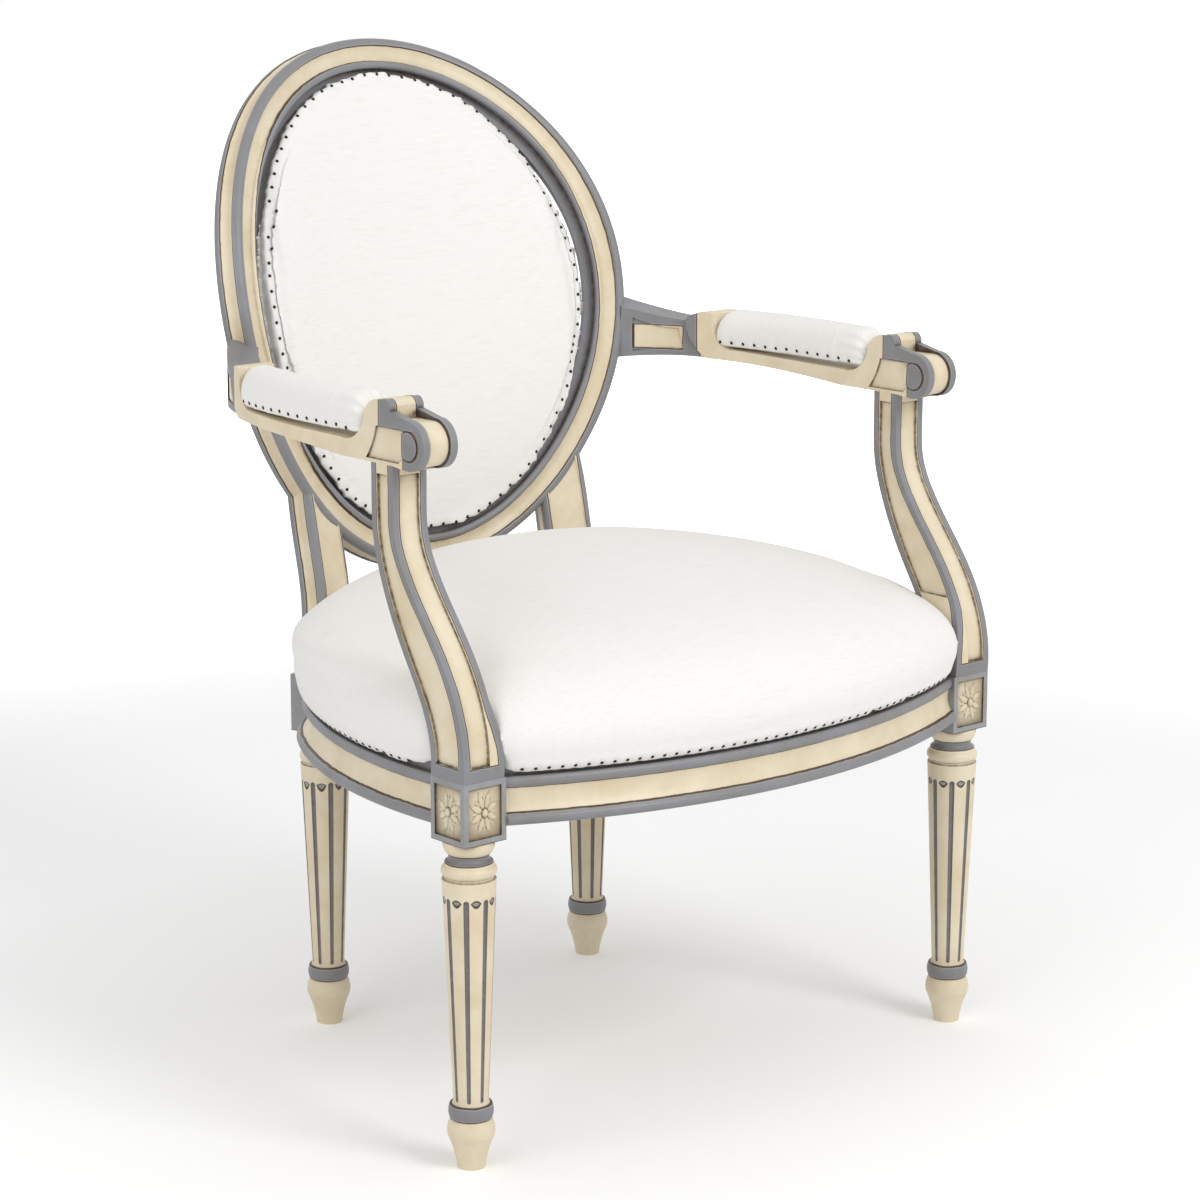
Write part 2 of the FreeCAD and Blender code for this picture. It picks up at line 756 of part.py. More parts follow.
def armSideSteps():
    base = armUnderside
    scrollZ = base + scrollRise
    rim = base + cradleRimRise
    floor = base + cradleFloorRise
    supportFront = supportMiddle(base) - supportTopDepth / 2
    return [
        (scrollY, scrollZ + scrollRadius),
        (scrollY - scrollRadius, scrollZ, scrollY, scrollZ - scrollRadius),
        (scrollY + 9, scrollZ - scrollRadius + 0.6, supportFront, base),
        (150, base),
        (250, base + 6.2, 340, base + 9.0),
        (385, base + 8.2, 450, base - 1),
        (450, base + 72),
        (400, base + 54, 352, base + 46),
        (350, base + 50, 342, rim - 2),
        (332, rim + 1, 323, rim - 1),
        (323, base + 46),
        (318, base + 27, 300, base + 19.5),
        (230, floor + 0.8, 148, floor),
        (122, base + 24, 113, base + 43),
        (104, rim - 3, 88, rim),
        (78, rim - 1, 76, base + 47.5),
    ]


# The plain field between the scroll's bead, its disc and the cradle
def scrollField(x, depth):
    scrollZ = armUnderside + scrollRise
    steps = [
        (96, scrollZ + 13),
        (scrollY + 4, scrollZ + 13),
        (scrollY + 13, scrollZ, scrollY + 7, scrollZ - 11),
        (scrollY + 14, scrollZ - 17),
        (111, scrollZ - 17),
        (102, scrollZ - 3, 96, scrollZ + 13),
    ]
    return sidePlate(steps, x, x + depth)


def neckZone():
    base = armUnderside
    steps = [
        (323, base + 6),
        (343, base + 21, 352, base + 47),
        (352, base + 60),
        (480, base + 100),
        (480, base - 30),
        (323, base - 30),
    ]
    return sidePlate(steps, 150, 400)


def neckPanel():
    base = armUnderside
    steps = [
        (357, base + 16),
        (385, base + 15, 404, base + 12),
        (404, base + 47),
        (385, base + 40, 362, base + 38),
    ]
    return sidePlate(steps, 150, 400)


def arm(framePieces):
    scrollZ = armUnderside + scrollRise
    side = sidePlate(armSideSteps(), 150, 400)
    body = side.common(armStrip(armWidth / 2))
    body = body.cut(neckZone().cut(armStrip(neckWidth / 2)))
    body = body.cut(neckPanel().cut(armStrip(neckWidth / 2 - 1.5)))
    inner = armOutset - armWidth
    discLength = armWidth + 2 * scrollDiscProud
    disc = Part.makeCylinder(scrollDiscRadius, discLength, Vector(inner - scrollDiscProud, scrollY, scrollZ),
                             Vector(1, 0, 0))
    barrel = box(inner + scrollBead, armOutset - scrollBead, scrollY - scrollRadius - 2, 76,
                 scrollZ - scrollRadius - 2, scrollZ + scrollRadius + 12)
    core = Part.makeCylinder(scrollRadius - scrollGroove, armWidth, Vector(inner, scrollY, scrollZ),
                             Vector(1, 0, 0))
    behind = box(inner, armOutset, scrollY, 100, scrollZ - 60, scrollZ + scrollRadius - scrollGroove)
    body = body.cut([barrel.cut([core, behind]), scrollField(inner - 1, 3), scrollField(armOutset - 2, 3)])
    body = body.fuse(disc)
    body = largestSolid(body.cut(framePieces))
    return largestSolid(body.cut([armDowel(fitClearance), armEndDowel(fitClearance)]))


# The dowel between the arm and the side of the oval frame
def armEndDowel(grow):
    end = armEnd()
    across, along = ovalPlace(armJointAngle(), frameWidth)
    target = backPoint(across, along) + backNormal(across) * (frameThickness / 2)
    run = (target - end).normalize()
    reach = dowelReach + grow
    return Part.makeCylinder(dowelRadius - 1 + grow, 2 * reach, end - run * (reach + 2), run)


# Seat outline at a height: drawn in by inset from the outer edge of the rails, and by shrink
# all round for what lies under the cover
def seatOutline(inset, z, shrink=0.0):
    radius, centreY = frontArc()
    first, second, shortRadius, endAngle = sideBends()
    rearRadius, rearCentre = rearArc()
    turn = math.radians(sideTurnAngle)
    half = frontLegX + halfDie
    rearSize = rearRadius - max(inset, seatRearInset) - shrink
    inset = inset + shrink

    def onFront(x):
        return (x, centreY - math.sqrt((radius - inset) ** 2 - x ** 2))

    def onCircle(centre, size, angle):
        return (centre.x + (size - inset) * math.cos(angle), centre.y + (size - inset) * math.sin(angle))

    frontX = half - 60 - inset * 0.9
    frontEnd = onFront(frontX)
    sideStart = onCircle(first, sideRadius, math.radians(sideStartAngle + 7 + inset * 0.06))
    roundness = 1 - inset / 220
    corner = ((frontEnd[0] + sideStart[0]) / 2 + 15 * roundness, (frontEnd[1] + sideStart[1]) / 2 - 13 * roundness)
    sideMiddle = onCircle(first, sideRadius, math.radians(sideStartAngle + 20))
    knee = onCircle(first, sideRadius, turn)
    lastAngle = math.radians(endAngle - 6)
    bendMiddle = onCircle(second, shortRadius, (turn + lastAngle) / 2)
    bendEnd = onCircle(second, shortRadius, lastAngle)
    rearX = rearLegX - halfDie
    rearEnd = (rearX - inset * 0.3, rearCentre + math.sqrt(rearSize ** 2 - rearX ** 2))
    rearCorner = ((bendEnd[0] + rearEnd[0]) / 2 + 5, (bendEnd[1] + rearEnd[1]) / 2 + 6)
    rearMiddle = (0, rearCentre + rearSize)
    right = [frontEnd, corner + sideStart, sideMiddle + knee, bendMiddle + bendEnd, rearCorner + rearEnd]
    flip = [(-point[0], point[1]) for point in (rearEnd, rearCorner, bendEnd, bendMiddle, knee, sideMiddle,
                                                 sideStart, corner, frontEnd)]
    left = [rearMiddle + flip[0], flip[1] + flip[2], flip[3] + flip[4], flip[5] + flip[6], flip[7] + flip[8]]
    close = onFront(0) + frontEnd
    return outline(right + left + [close], lambda x, y: Vector(x, y, z))


# Crowned seat with drawn-in sides; shrink leaves the stuffing inside its cover
def seatForm(shrink):
    low = railTop + padGap if shrink == 0 else ledgeTop + 2 * webThickness + hessianThickness + padGap
    sections = [seatOutline(ledgeSetback - 5, low, shrink)]
    for rise, inset in ((24, 1 - seatBulge), (48, 3 - seatBulge), (70, 16), (86, 48), (94, 96)):
        sections.append(seatOutline(inset, railTop + rise - shrink * rise / 100, shrink))
    sections.append(seatOutline(150, seatCrownHeight - shrink, shrink))
    return Part.makeLoft(sections, True, False)


# The raised inner part of every rail, that the cover is drawn down over
def ledgeRing(grow):
    steps = [(-railThickness - grow, railTop - 3), (-ledgeSetback + grow, railTop - 3),
             (-ledgeSetback + grow, ledgeTop + grow), (-railThickness - grow, ledgeTop + grow)]
    radius, centreY = frontArc()
    first, second, shortRadius, endAngle = sideBends()
    rearRadius, rearCentre = rearArc()
    front = bentStrip(steps, 0, centreY, radius, 240, 300)
    side = bentStrip(steps, first.x, first.y, sideRadius, sideStartAngle - 1, sideTurnAngle)
    bend = bentStrip(steps, second.x, second.y, shortRadius, sideTurnAngle, endAngle + 2)
    rear = bentStrip(steps, 0, rearCentre, rearRadius, 65, 115)
    return [front, side, bend, mirrored(side), mirrored(bend), rear]


# What the seat is cut round: the arm supports, the front corners and the rear posts
def seatClearances(grow):
    support = supportForm(grow)
    footInner = armOutset - supportFootWidth
    foot = box(footInner - grow, 400, -200, halfDie + grow, dieBottom, dieTop + 14)
    die = box(frontLegX - halfDie - grow, 400, -200, halfDie + grow, dieBottom, dieTop + grow)
    corner = box(armOutset - supportTopWidth - grow, 400, -200, halfDie + grow, dieBottom, 600)
    post = stile(grow)
    shoulder = atRearPost(box(-halfDie - grow, halfDie + grow, -rearPostDepth - grow, halfDie + 40,
                              dieBottom, dieTop + grow))
    beyond = atRearPost(box(0, 300, -2 - grow, 300, dieTop - 6, 600))
    pieces = [support, foot, die, corner, post, shoulder, beyond]
    return pieces + [mirrored(piece) for piece in pieces]


def seatPieces():
    clear = seatClearances(seatClearance)
    clearInside = seatClearances(seatClearance + coverThickness)
    clearStuffing = seatClearances(seatClearance + coverThickness + padGap)
    hollow = seatForm(coverThickness).cut(clearInside)
    well = Part.Face(seatOutline(ledgeSetback - 3 * padGap, railTop - 5)).extrude(
        Vector(0, 0, ledgeRise + 5 + 2 * webThickness + hessianThickness + padGap * 3))
    cover = seatForm(0).cut(clear).cut([hollow, well])
    for ledge in ledgeRing(padGap):
        cover = cover.cut(ledge)
    cover = largestSolid(cover)
    stuffing = largestSolid(seatForm(coverThickness + padGap).cut(clearStuffing))
    sheetWire = seatOutline(ledgeSetback + 4, ledgeTop + 2 * webThickness)
    hessian = Part.Face(sheetWire).extrude(Vector(0, 0, hessianThickness))
    hessian = largestSolid(hessian.cut(clear))
    return cover, stuffing, hessian, webbing(clear)


# Woven bands under the stuffing, drawn as two layers that cross
def webbing(clear):
    span = Part.Face(seatOutline(ledgeSetback + 4, ledgeTop)).extrude(Vector(0, 0, 2 * webThickness))
    bands = []
    pitchX = webWidth * 1.75
    for index in range(-2, 3):
        x = index * pitchX
        bands.append(box(x - webWidth / 2, x + webWidth / 2, -200, 600, ledgeTop, ledgeTop + webThickness))
    for index in range(5):
        y = -10 + index * pitchX
        bands.append(box(-400, 400, y - webWidth / 2, y + webWidth / 2, ledgeTop + webThickness,
                         ledgeTop + 2 * webThickness))
    strips = []
    for band in bands:
        strips.append(largestSolid(span.common(band).cut(clear)))
    return Part.makeCompound(strips)


# Oval slab of the back between two depths, bent like the frame
def backSlab(inset, near, far):
    points = []
    for index in range(24):
        across, along = ovalPlace(index * 15.0, inset)
        points.append(backPoint(across, along) + backNormal(across) * near - toRear * 90)
    curve = Part.BSplineCurve()
    flat = [point - toRear * (point - points[0]).dot(toRear) for point in points]
    curve.interpolate(Points=flat, PeriodicFlag=True)
    prism = Part.Face(Part.Wire([curve.toShape()])).extrude(toRear * 260)
    axisPoint = backPoint(0, 0) - toRear * backRadius - upBack * 500
    outer = Part.makeCylinder(backRadius + far, 1000, axisPoint, upBack)
    inner = Part.makeCylinder(backRadius + near, 1000, axisPoint, upBack)
    shell = outer.cut(inner)
    return largestSolid(prism.common(shell))


# Padded front of the back: upright slices from side to side, each with its crown
def backForm(inset, rear, crown):
    halfWidth = ovalHalfWidth - inset
    slices = []
    count = 11
    for index in range(count):
        angle = math.radians(-85 + 170 * index / (count - 1))
        across = halfWidth * math.sin(angle)
        half = (ovalHalfHeight - inset * 1.03) * math.cos(angle)
        swell = crown * math.cos(angle) ** 0.8
        shift = ovalEgg * half * 0.5 * math.sin(angle) ** 2

        def place(along, depth):
            return backPoint(across, along + shift) + toRear * depth

        steps = [(-half, rear), (-half, 1), (0, 1 - swell, half, 1), (half, rear)]
        slices.append(outline(steps, place))
    return Part.makeLoft(slices, True, False)


def backPieces(framePieces):
    coverInset = frameWidth + 0.5 + padGap
    backRest = tackLedgeFront - padGap
    sheet = hessianThickness
    outer = backForm(coverInset, backRest, backCrown)
    hollow = backForm(coverInset + coverThickness - padGap, backRest + 5, backCrown - coverThickness + padGap)
    inner = backForm(coverInset + coverThickness, backRest - sheet - padGap, backCrown - coverThickness)
    cover = largestSolid(outer.cut(hollow))
    hessian = backSlab(frameWidth + coverThickness + 4, tackLedgeFront - sheet, tackLedgeFront)
    rearCover = backSlab(frameWidth + 3.0, tackLedgeRear + padGap, frameThickness - 1.0).cut(framePieces)
    return cover, largestSolid(inner), hessian, largestSolid(rearCover)


# Stuffed pad of an arm: sections across the arm, rounded at both ends
def armPadSection(y, share, shrink):
    slope = armCentre(y + 0.5) - armCentre(y - 0.5)
    length = math.sqrt(1 + slope * slope)
    across = Vector(1 / length, -slope / length, 0)
    base = armUnderside + cradleFloorRise + 3.6
    top = base + (armPadTop - shrink - base) * share
    foot = (armWidth / 2 - 1.5 - shrink) * (0.55 + 0.45 * share)
    belly = (armPadWidth / 2 - shrink) * (0.5 + 0.5 * share)
    shoulderZ = base + (top - base) * 0.8
    bellyZ = base + (top - base) * 0.4
    steps = [
        (-foot, base),
        (foot, base),
        (belly, bellyZ, belly * 0.8, shoulderZ),
        (0, top, -belly * 0.8, shoulderZ),
        (-belly, bellyZ, -foot, base),
    ]
    centre = Vector(armCentre(y), y, 0)
    return outline(steps, lambda side, z: centre + across * side + Vector(0, 0, z))


def armPadForm(shrink):
    start = armPadStart + shrink
    end = armPadEnd - shrink
    sections = []
    for offset, share in ((0, 0.45), (5, 0.72), (14, 0.9), (34, 1.0)):
        sections.append(armPadSection(start + offset, share, shrink))
    for index in range(1, 5):
        y = start + 34 + (end - start - 68) * index / 5
        sections.append(armPadSection(y, 1.0, shrink))
    for offset, share in ((34, 1.0), (14, 0.9), (5, 0.72), (0, 0.45)):
        sections.append(armPadSection(end - offset, share, shrink))
    return Part.makeLoft(sections, True, False)


def armPadPieces(armWood):
    outer = armPadForm(0).cut(armWood)
    hollow = armPadForm(coverThickness - padGap)
    inner = armPadForm(coverThickness).cut(armWood)
    floorCut = box(150, 400, 0, 450, armUnderside, armUnderside + cradleFloorRise + 5)
    return largestSolid(outer.cut([hollow, floorCut])), largestSolid(inner)


def backFrame():
    crest = framePiece(jointAngles[0], jointAngles[1], 9)
    right = framePiece(jointAngles[3] - 360, jointAngles[0], 10)
    bottom = framePiece(jointAngles[2], jointAngles[3], 10)
    left = mirrored(right)
    return crest, right, left, bottom


def buildNodes():
    nodes = {}
    crest, right, left, bottom = backFrame()
    core = frameCore(jointAngles[3] - 370, jointAngles[0] - 20)
    endDowel = armEndDowel(fitClearance)
    jointHoles = [frameDowel(angle, fitClearance) for angle in jointAngles]
    stileDowels = [stileDowel(0), mirrored(stileDowel(0))]
    stileHoles = [stileDowel(fitClearance), mirrored(stileDowel(fitClearance))]
    nodes["back_crest"] = crest.cut(jointHoles[:2])
    nodes["back_side_right"] = right.cut([jointHoles[0], jointHoles[3], endDowel])
    nodes["back_side_left"] = left.cut([jointHoles[1], jointHoles[2], mirrored(endDowel)])
    nodes["back_bottom_rail"] = bottom.cut(jointHoles[2:] + stileHoles)
    nodes["back_dowels"] = Part.makeCompound([frameDowel(angle, 0) for angle in jointAngles] + stileDowels)

    legPost = rearLeg([core, right, bottom], [stileHoles[0]])
    nodes["rear_leg_right"] = legPost
    nodes["rear_leg_left"] = mirrored(legPost)
    nodes["front_leg_right"] = frontLeg()
    nodes["front_leg_left"] = mirrored(nodes["front_leg_right"])

    frontCorners = frontBlockCorners()
    rearCorners = rearBlockCorners()
    frontHoles = blockScrews(frontCorners, fitClearance)
    rearHoles = blockScrews(rearCorners, fitClearance)
    holesRight = frontHoles + rearHoles
    holes = holesRight + [mirrored(hole) for hole in holesRight]
    nodes["front_rail"] = frontRail().cut(holes)
    nodes["side_rail_right"] = sideRail().cut(holesRight)
    nodes["side_rail_left"] = mirrored(nodes["side_rail_right"])
    nodes["rear_rail"] = rearRail().cut(holes)
    nodes["corner_block_front_right"] = cornerBlock(frontCorners).cut(frontHoles)
    nodes["corner_block_front_left"] = mirrored(nodes["corner_block_front_right"])
    nodes["corner_block_rear_right"] = cornerBlock(rearCorners).cut(rearHoles)
    nodes["corner_block_rear_left"] = mirrored(nodes["corner_block_rear_right"])
    screws = blockScrews(frontCorners, 0) + blockScrews(rearCorners, 0)
    nodes["corner_block_screws"] = Part.makeCompound(screws + [mirrored(screw) for screw in screws])

    support = armSupport()
    nodes["arm_support_right"] = support
    nodes["arm_support_left"] = mirrored(support)
    wood = arm([core, right])
    nodes["arm_right"] = wood
    nodes["arm_left"] = mirrored(wood)
    dowels = [supportDowel(0), armDowel(0), armEndDowel(0)]
    nodes["arm_dowels"] = Part.makeCompound(dowels + [mirrored(dowel) for dowel in dowels])

    cover, stuffing, hessian, bands = seatPieces()
    nodes["seat_cover"] = cover
    nodes["seat_stuffing"] = stuffing
    nodes["seat_hessian"] = hessian
    nodes["seat_webbing"] = bands
    cover, stuffing, hessian, rearCover = backPieces([crest, right, left, bottom])
    nodes["back_cover"] = cover
    nodes["back_stuffing"] = stuffing
    nodes["back_hessian"] = hessian
    nodes["back_rear_cover"] = rearCover
    cover, stuffing = armPadPieces(wood)
    nodes["arm_pad_cover_right"] = cover
    nodes["arm_pad_cover_left"] = mirrored(cover)
    nodes["arm_pad_stuffing_right"] = stuffing
    nodes["arm_pad_stuffing_left"] = mirrored(stuffing)
    return nodes


# The dowel that ties the stile to the underside of the oval
def stileDowel(grow):
    middle = stileUpperCentre - 8
    turn = math.acos(-middle / ovalHalfWidth)
    along = -ovalHalfHeight * math.sin(turn)
    start = backPoint(middle, along + 8) + backNormal(middle) * (frameThickness / 2)
    reach = dowelReach + grow
    return Part.makeCylinder(dowelRadius - 1 + grow, 2 * reach, start - upBack * reach, upBack)


def main():
    os.makedirs("parts", exist_ok=True)
    nodes = buildNodes()
    front = nodes["seat_cover"].optimalBoundingBox().YMin
    front = min(front, nodes["front_rail"].optimalBoundingBox().YMin)
    rear = nodes["back_crest"].optimalBoundingBox().YMax
    middleY = (front + rear) / 2
    print("Y offset", round(-middleY, 2), "depth", round(rear - front, 1))
    for name, shape in nodes.items():
        placed = shape.copy()
        placed.translate(Vector(0, -middleY, 0))
        placed.exportStep("parts/" + name + ".step")
        print(name, len(placed.Solids), "valid", placed.isValid(), round(placed.Volume))


if __name__ == "__main__":
    main()
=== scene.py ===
import math
import bmesh
import bpy
from mathutils import Matrix, Vector, kdtree
from mathutils.bvhtree import BVHTree


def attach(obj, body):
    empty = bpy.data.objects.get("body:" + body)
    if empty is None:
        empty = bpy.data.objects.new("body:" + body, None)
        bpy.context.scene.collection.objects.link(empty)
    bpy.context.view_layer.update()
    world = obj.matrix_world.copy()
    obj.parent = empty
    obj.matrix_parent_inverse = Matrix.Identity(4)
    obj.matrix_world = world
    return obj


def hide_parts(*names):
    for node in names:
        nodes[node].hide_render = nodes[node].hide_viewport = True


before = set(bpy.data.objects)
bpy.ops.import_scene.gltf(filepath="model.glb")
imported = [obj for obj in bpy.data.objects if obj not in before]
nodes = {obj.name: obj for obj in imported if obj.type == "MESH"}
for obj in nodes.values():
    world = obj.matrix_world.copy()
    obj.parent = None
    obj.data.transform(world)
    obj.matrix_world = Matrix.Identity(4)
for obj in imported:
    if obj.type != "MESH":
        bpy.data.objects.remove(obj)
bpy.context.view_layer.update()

mm = 0.001
frontLine = -0.23623  # y of the front legs' axes


# Camera: solved from the chair's own symmetric points
camera = {"place": (-2.1062, -2.51673, 1.1521), "turn": 40.569, "down": 12.3185, "lens": 103.38, "sensor": 36.0}


def addCamera():
    data = bpy.data.cameras.new("camera")
    data.lens = camera["lens"]
    data.sensor_width = camera["sensor"]
    data.clip_end = 60
    view = bpy.data.objects.new("camera", data)
    view.location = camera["place"]
    view.rotation_euler = (math.radians(90 - camera["down"]), 0, math.radians(-camera["turn"]))
    bpy.context.scene.collection.objects.link(view)
    bpy.context.scene.camera = view


# Small helpers for meshes and node trees
def linear(hexColour):
    values = []
    for start in (1, 3, 5):
        part = int(hexColour[start:start + 2], 16) / 255
        values.append(part / 12.92 if part <= 0.04045 else ((part + 0.055) / 1.055) ** 2.4)
    return values + [1.0]


def addNode(tree, kind, *values, out=0, **settings):
    if kind.isupper():  # a name in capitals is an operation of the Math node
        kind, settings["operation"] = "Math", kind
    node = tree.nodes.new("ShaderNode" + kind)
    named = settings.pop("named", {})
    for name, value in settings.items():
        setattr(node, name, value)
    for key, value in list(enumerate(values)) + list(named.items()):
        if isinstance(value, bpy.types.NodeSocket):
            tree.links.new(value, node.inputs[key])
        elif value is not None:
            node.inputs[key].default_value = value
    return node.outputs[out]


# Length of the flat vector (a, b)
def lengthOf(tree, a, b):
    return addNode(tree, "SQRT", addNode(tree, "ADD", addNode(tree, "POWER", a, 2.0), addNode(tree, "POWER", b, 2.0)))


# a * p + b * q, for turning a plan by an angle
def blend(tree, a, p, b, q):
    return addNode(tree, "ADD", addNode(tree, "MULTIPLY", a, p), addNode(tree, "MULTIPLY", b, q))


def mixed(tree, share, first, second, **settings):
    return addNode(tree, "Mix", named={0: share, 6: first, 7: second}, out=2, data_type="RGBA", **settings)


# Two crossing waves, the distance between threads in millimetres
def weave(tree, place, thread, axes, wander):
    waves = [addNode(tree, "TexWave", place, bands_direction=axis,
                     named={"Scale": 0.314 / thread, "Distortion": wander, "Detail": 1.0}) for axis in axes]
    return addNode(tree, "MULTIPLY", *waves)


def newMaterial(name):
    material = bpy.data.materials.new(name)
    material.use_nodes = True
    tree = material.node_tree
    tree.nodes.clear()
    shader = tree.nodes.new("ShaderNodeBsdfPrincipled")
    end = tree.nodes.new("ShaderNodeOutputMaterial")
    tree.links.new(shader.outputs[0], end.inputs[0])
    return material, tree, shader


def addPiece(name, mesh, material=None):
    piece = bpy.data.objects.new(name, mesh)
    bpy.context.scene.collection.objects.link(piece)
    if material:
        mesh.materials.clear()
        mesh.materials.append(material)
    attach(piece, "root")
    return piece


# Painted beech: cream and grey eggshell paint, rubbed back and glazed brown in the recesses, with a painted highlight
# along the bead edges
paint = {
    "cream": "#E2D6BC", "creamWarm": "#E6D9C2", "grey": "#85868B", "highlightGrey": "#9B9CA0",
    "glaze": "#4A382A", "glazeReach": 0.009, "roughness": 0.42,
}


# Object coordinates in millimetres, y from the front legs' axes, x the same on both sides
def placeIn(tree):
    spot = addNode(tree, "TexCoord", out=3)
    scaled = addNode(tree, "VectorMath", spot, (1000, 1000, 1000), (0, -frontLine * 1000, 0),
                     operation="MULTIPLY_ADD")
    parts = tree.nodes.new("ShaderNodeSeparateXYZ")
    tree.links.new(scaled, parts.inputs[0])
    return addNode(tree, "ABSOLUTE", parts.outputs[0]), parts.outputs[1], parts.outputs[2], scaled


# Signed distances in millimetres into the grey parts of each kind of piece
def inside(tree, value, low, high):
    above = addNode(tree, "SUBTRACT", value, low)
    return addNode(tree, "MINIMUM", above, addNode(tree, "SUBTRACT", high, value))


def outside(tree, value, low, high):
    above = addNode(tree, "SUBTRACT", low, value)
    return addNode(tree, "MAXIMUM", above, addNode(tree, "SUBTRACT", value, high))


legPlan = {
    "frontX": 305.0, "rearX": 170.0, "rearY": 399.0, "rearToe": 22.19, "shaftFoot": 65.4, "shaftRadius": 15.35,
    "shaftTaper": 0.04083, "fluteContrast": 4.0, "flutes": (62.0, 258.0), "ankle": (47.2, 60.2),
    "scotia": (284.0, 291.6), "panelHalf": 22.4, "dieFoot": 304.0, "dieTop": 360.6,
}


def legGrey(tree, x, y, z, axisX, axisY, toe):
    dx = addNode(tree, "SUBTRACT", x, axisX)
    dy = addNode(tree, "SUBTRACT", y, axisY)
    reach = lengthOf(tree, dx, dy)
    above = addNode(tree, "SUBTRACT", z, legPlan["shaftFoot"])
    shaft = addNode(tree, "MULTIPLY_ADD", above, legPlan["shaftTaper"], legPlan["shaftRadius"])
    flute = addNode(tree, "MINIMUM", addNode(tree, "SUBTRACT", shaft, reach), inside(tree, z, *legPlan["flutes"]))
    flute = addNode(tree, "MULTIPLY", flute, legPlan["fluteContrast"])
    ankle = inside(tree, z, *legPlan["ankle"])
    scotia = inside(tree, z, *legPlan["scotia"])
    turn = math.radians(toe)
    along = addNode(tree, "ABSOLUTE", blend(tree, dx, math.cos(turn), dy, -math.sin(turn)))
    across = addNode(tree, "ABSOLUTE", blend(tree, dx, math.sin(turn), dy, math.cos(turn)))
    square = addNode(tree, "MAXIMUM", along, across)
    overDie = addNode(tree, "SUBTRACT", z, legPlan["dieFoot"])
    die = addNode(tree, "MINIMUM", addNode(tree, "SUBTRACT", square, legPlan["panelHalf"]), overDie)
    rings = addNode(tree, "MAXIMUM", scotia, die)
    return addNode(tree, "MAXIMUM", addNode(tree, "MAXIMUM", flute, ankle), rings)


# Between these heights a rail is cream, above and below lie its grey beads
railPlan = {"creamFrom": 327.2, "creamTo": 349.3}


def railGrey(tree, x, y, z):
    top = addNode(tree, "SUBTRACT", z, railPlan["creamTo"])
    low = addNode(tree, "SUBTRACT", railPlan["creamFrom"], z)
    return addNode(tree, "MAXIMUM", top, low)


# An arm support: its S, its taper, and the width of its grey edges
supportPlan = {
    "sweep": 88.0, "from": 380.0, "to": 580.0, "halfDepth": (23.25, 15.5), "taper": (450.0, 560.0), "outer": 328.5,
    "inner": (283.5, 291.5), "widens": (375.0, 430.0), "bead": 6.8, "foot": 373.0,
}


def supportGrey(tree, x, y, z):
    plan = supportPlan
    share = addNode(tree, "MapRange", z, plan["from"], plan["to"], 0.0, 1.0, interpolation_type="SMOOTHSTEP")
    middle = addNode(tree, "MULTIPLY", share, plan["sweep"])
    flat = addNode(tree, "MapRange", z, plan["from"], plan["to"], 0.0, 1.0)
    bend = addNode(tree, "MULTIPLY", flat, addNode(tree, "SUBTRACT", 1.0, flat))
    slope = addNode(tree, "MULTIPLY", bend, 6 * plan["sweep"] / (plan["to"] - plan["from"]))
    stretch = addNode(tree, "SQRT", addNode(tree, "MULTIPLY_ADD", slope, slope, 1.0))
    thick = addNode(tree, "MapRange", z, *plan["taper"], *plan["halfDepth"], interpolation_type="SMOOTHSTEP")
    half = addNode(tree, "MULTIPLY", thick, stretch)
    ends = addNode(tree, "SUBTRACT", half, addNode(tree, "ABSOLUTE", addNode(tree, "SUBTRACT", y, middle)))
    inner = addNode(tree, "MapRange", z, *plan["widens"], *plan["inner"], interpolation_type="SMOOTHSTEP")
    toOuter = addNode(tree, "SUBTRACT", plan["outer"], x)
    sides = addNode(tree, "MINIMUM", toOuter, addNode(tree, "SUBTRACT", x, inner))
    beads = addNode(tree, "SUBTRACT", plan["bead"], addNode(tree, "MAXIMUM", ends, sides))
    foot = addNode(tree, "SUBTRACT", plan["foot"], z)
    return addNode(tree, "MAXIMUM", beads, foot)


# The back: an egg-shaped oval on a cylinder that leans back by the rake
backPlan = {
    "radius": 450.2, "surfaceY": 485.13, "height": 703.2, "rake": math.radians(12.74), "halfWidth": 237.3,
    "halfHeight": 268.3, "egg": 0.036, "frontBead": 8.0, "rearBead": 21.0, "outerBead": 8.0, "innerBead": 24.0,
}


# Where a point lies on the curved back: across and along the oval, and its depth behind the front
def backPlace(tree, x, y, z):
    sine, cosine, radius = math.sin(backPlan["rake"]), math.cos(backPlan["rake"]), backPlan["radius"]
    offY = addNode(tree, "SUBTRACT", y, backPlan["surfaceY"])
    offZ = addNode(tree, "SUBTRACT", z, backPlan["height"])
    along = blend(tree, offY, sine, offZ, cosine)
    fromAxis = addNode(tree, "ADD", blend(tree, offY, cosine, offZ, -sine), radius)
    reach = lengthOf(tree, fromAxis, x)
    depth = addNode(tree, "SUBTRACT", reach, radius)
    across = addNode(tree, "DIVIDE", addNode(tree, "MULTIPLY", x, radius), reach)
    return across, along, depth


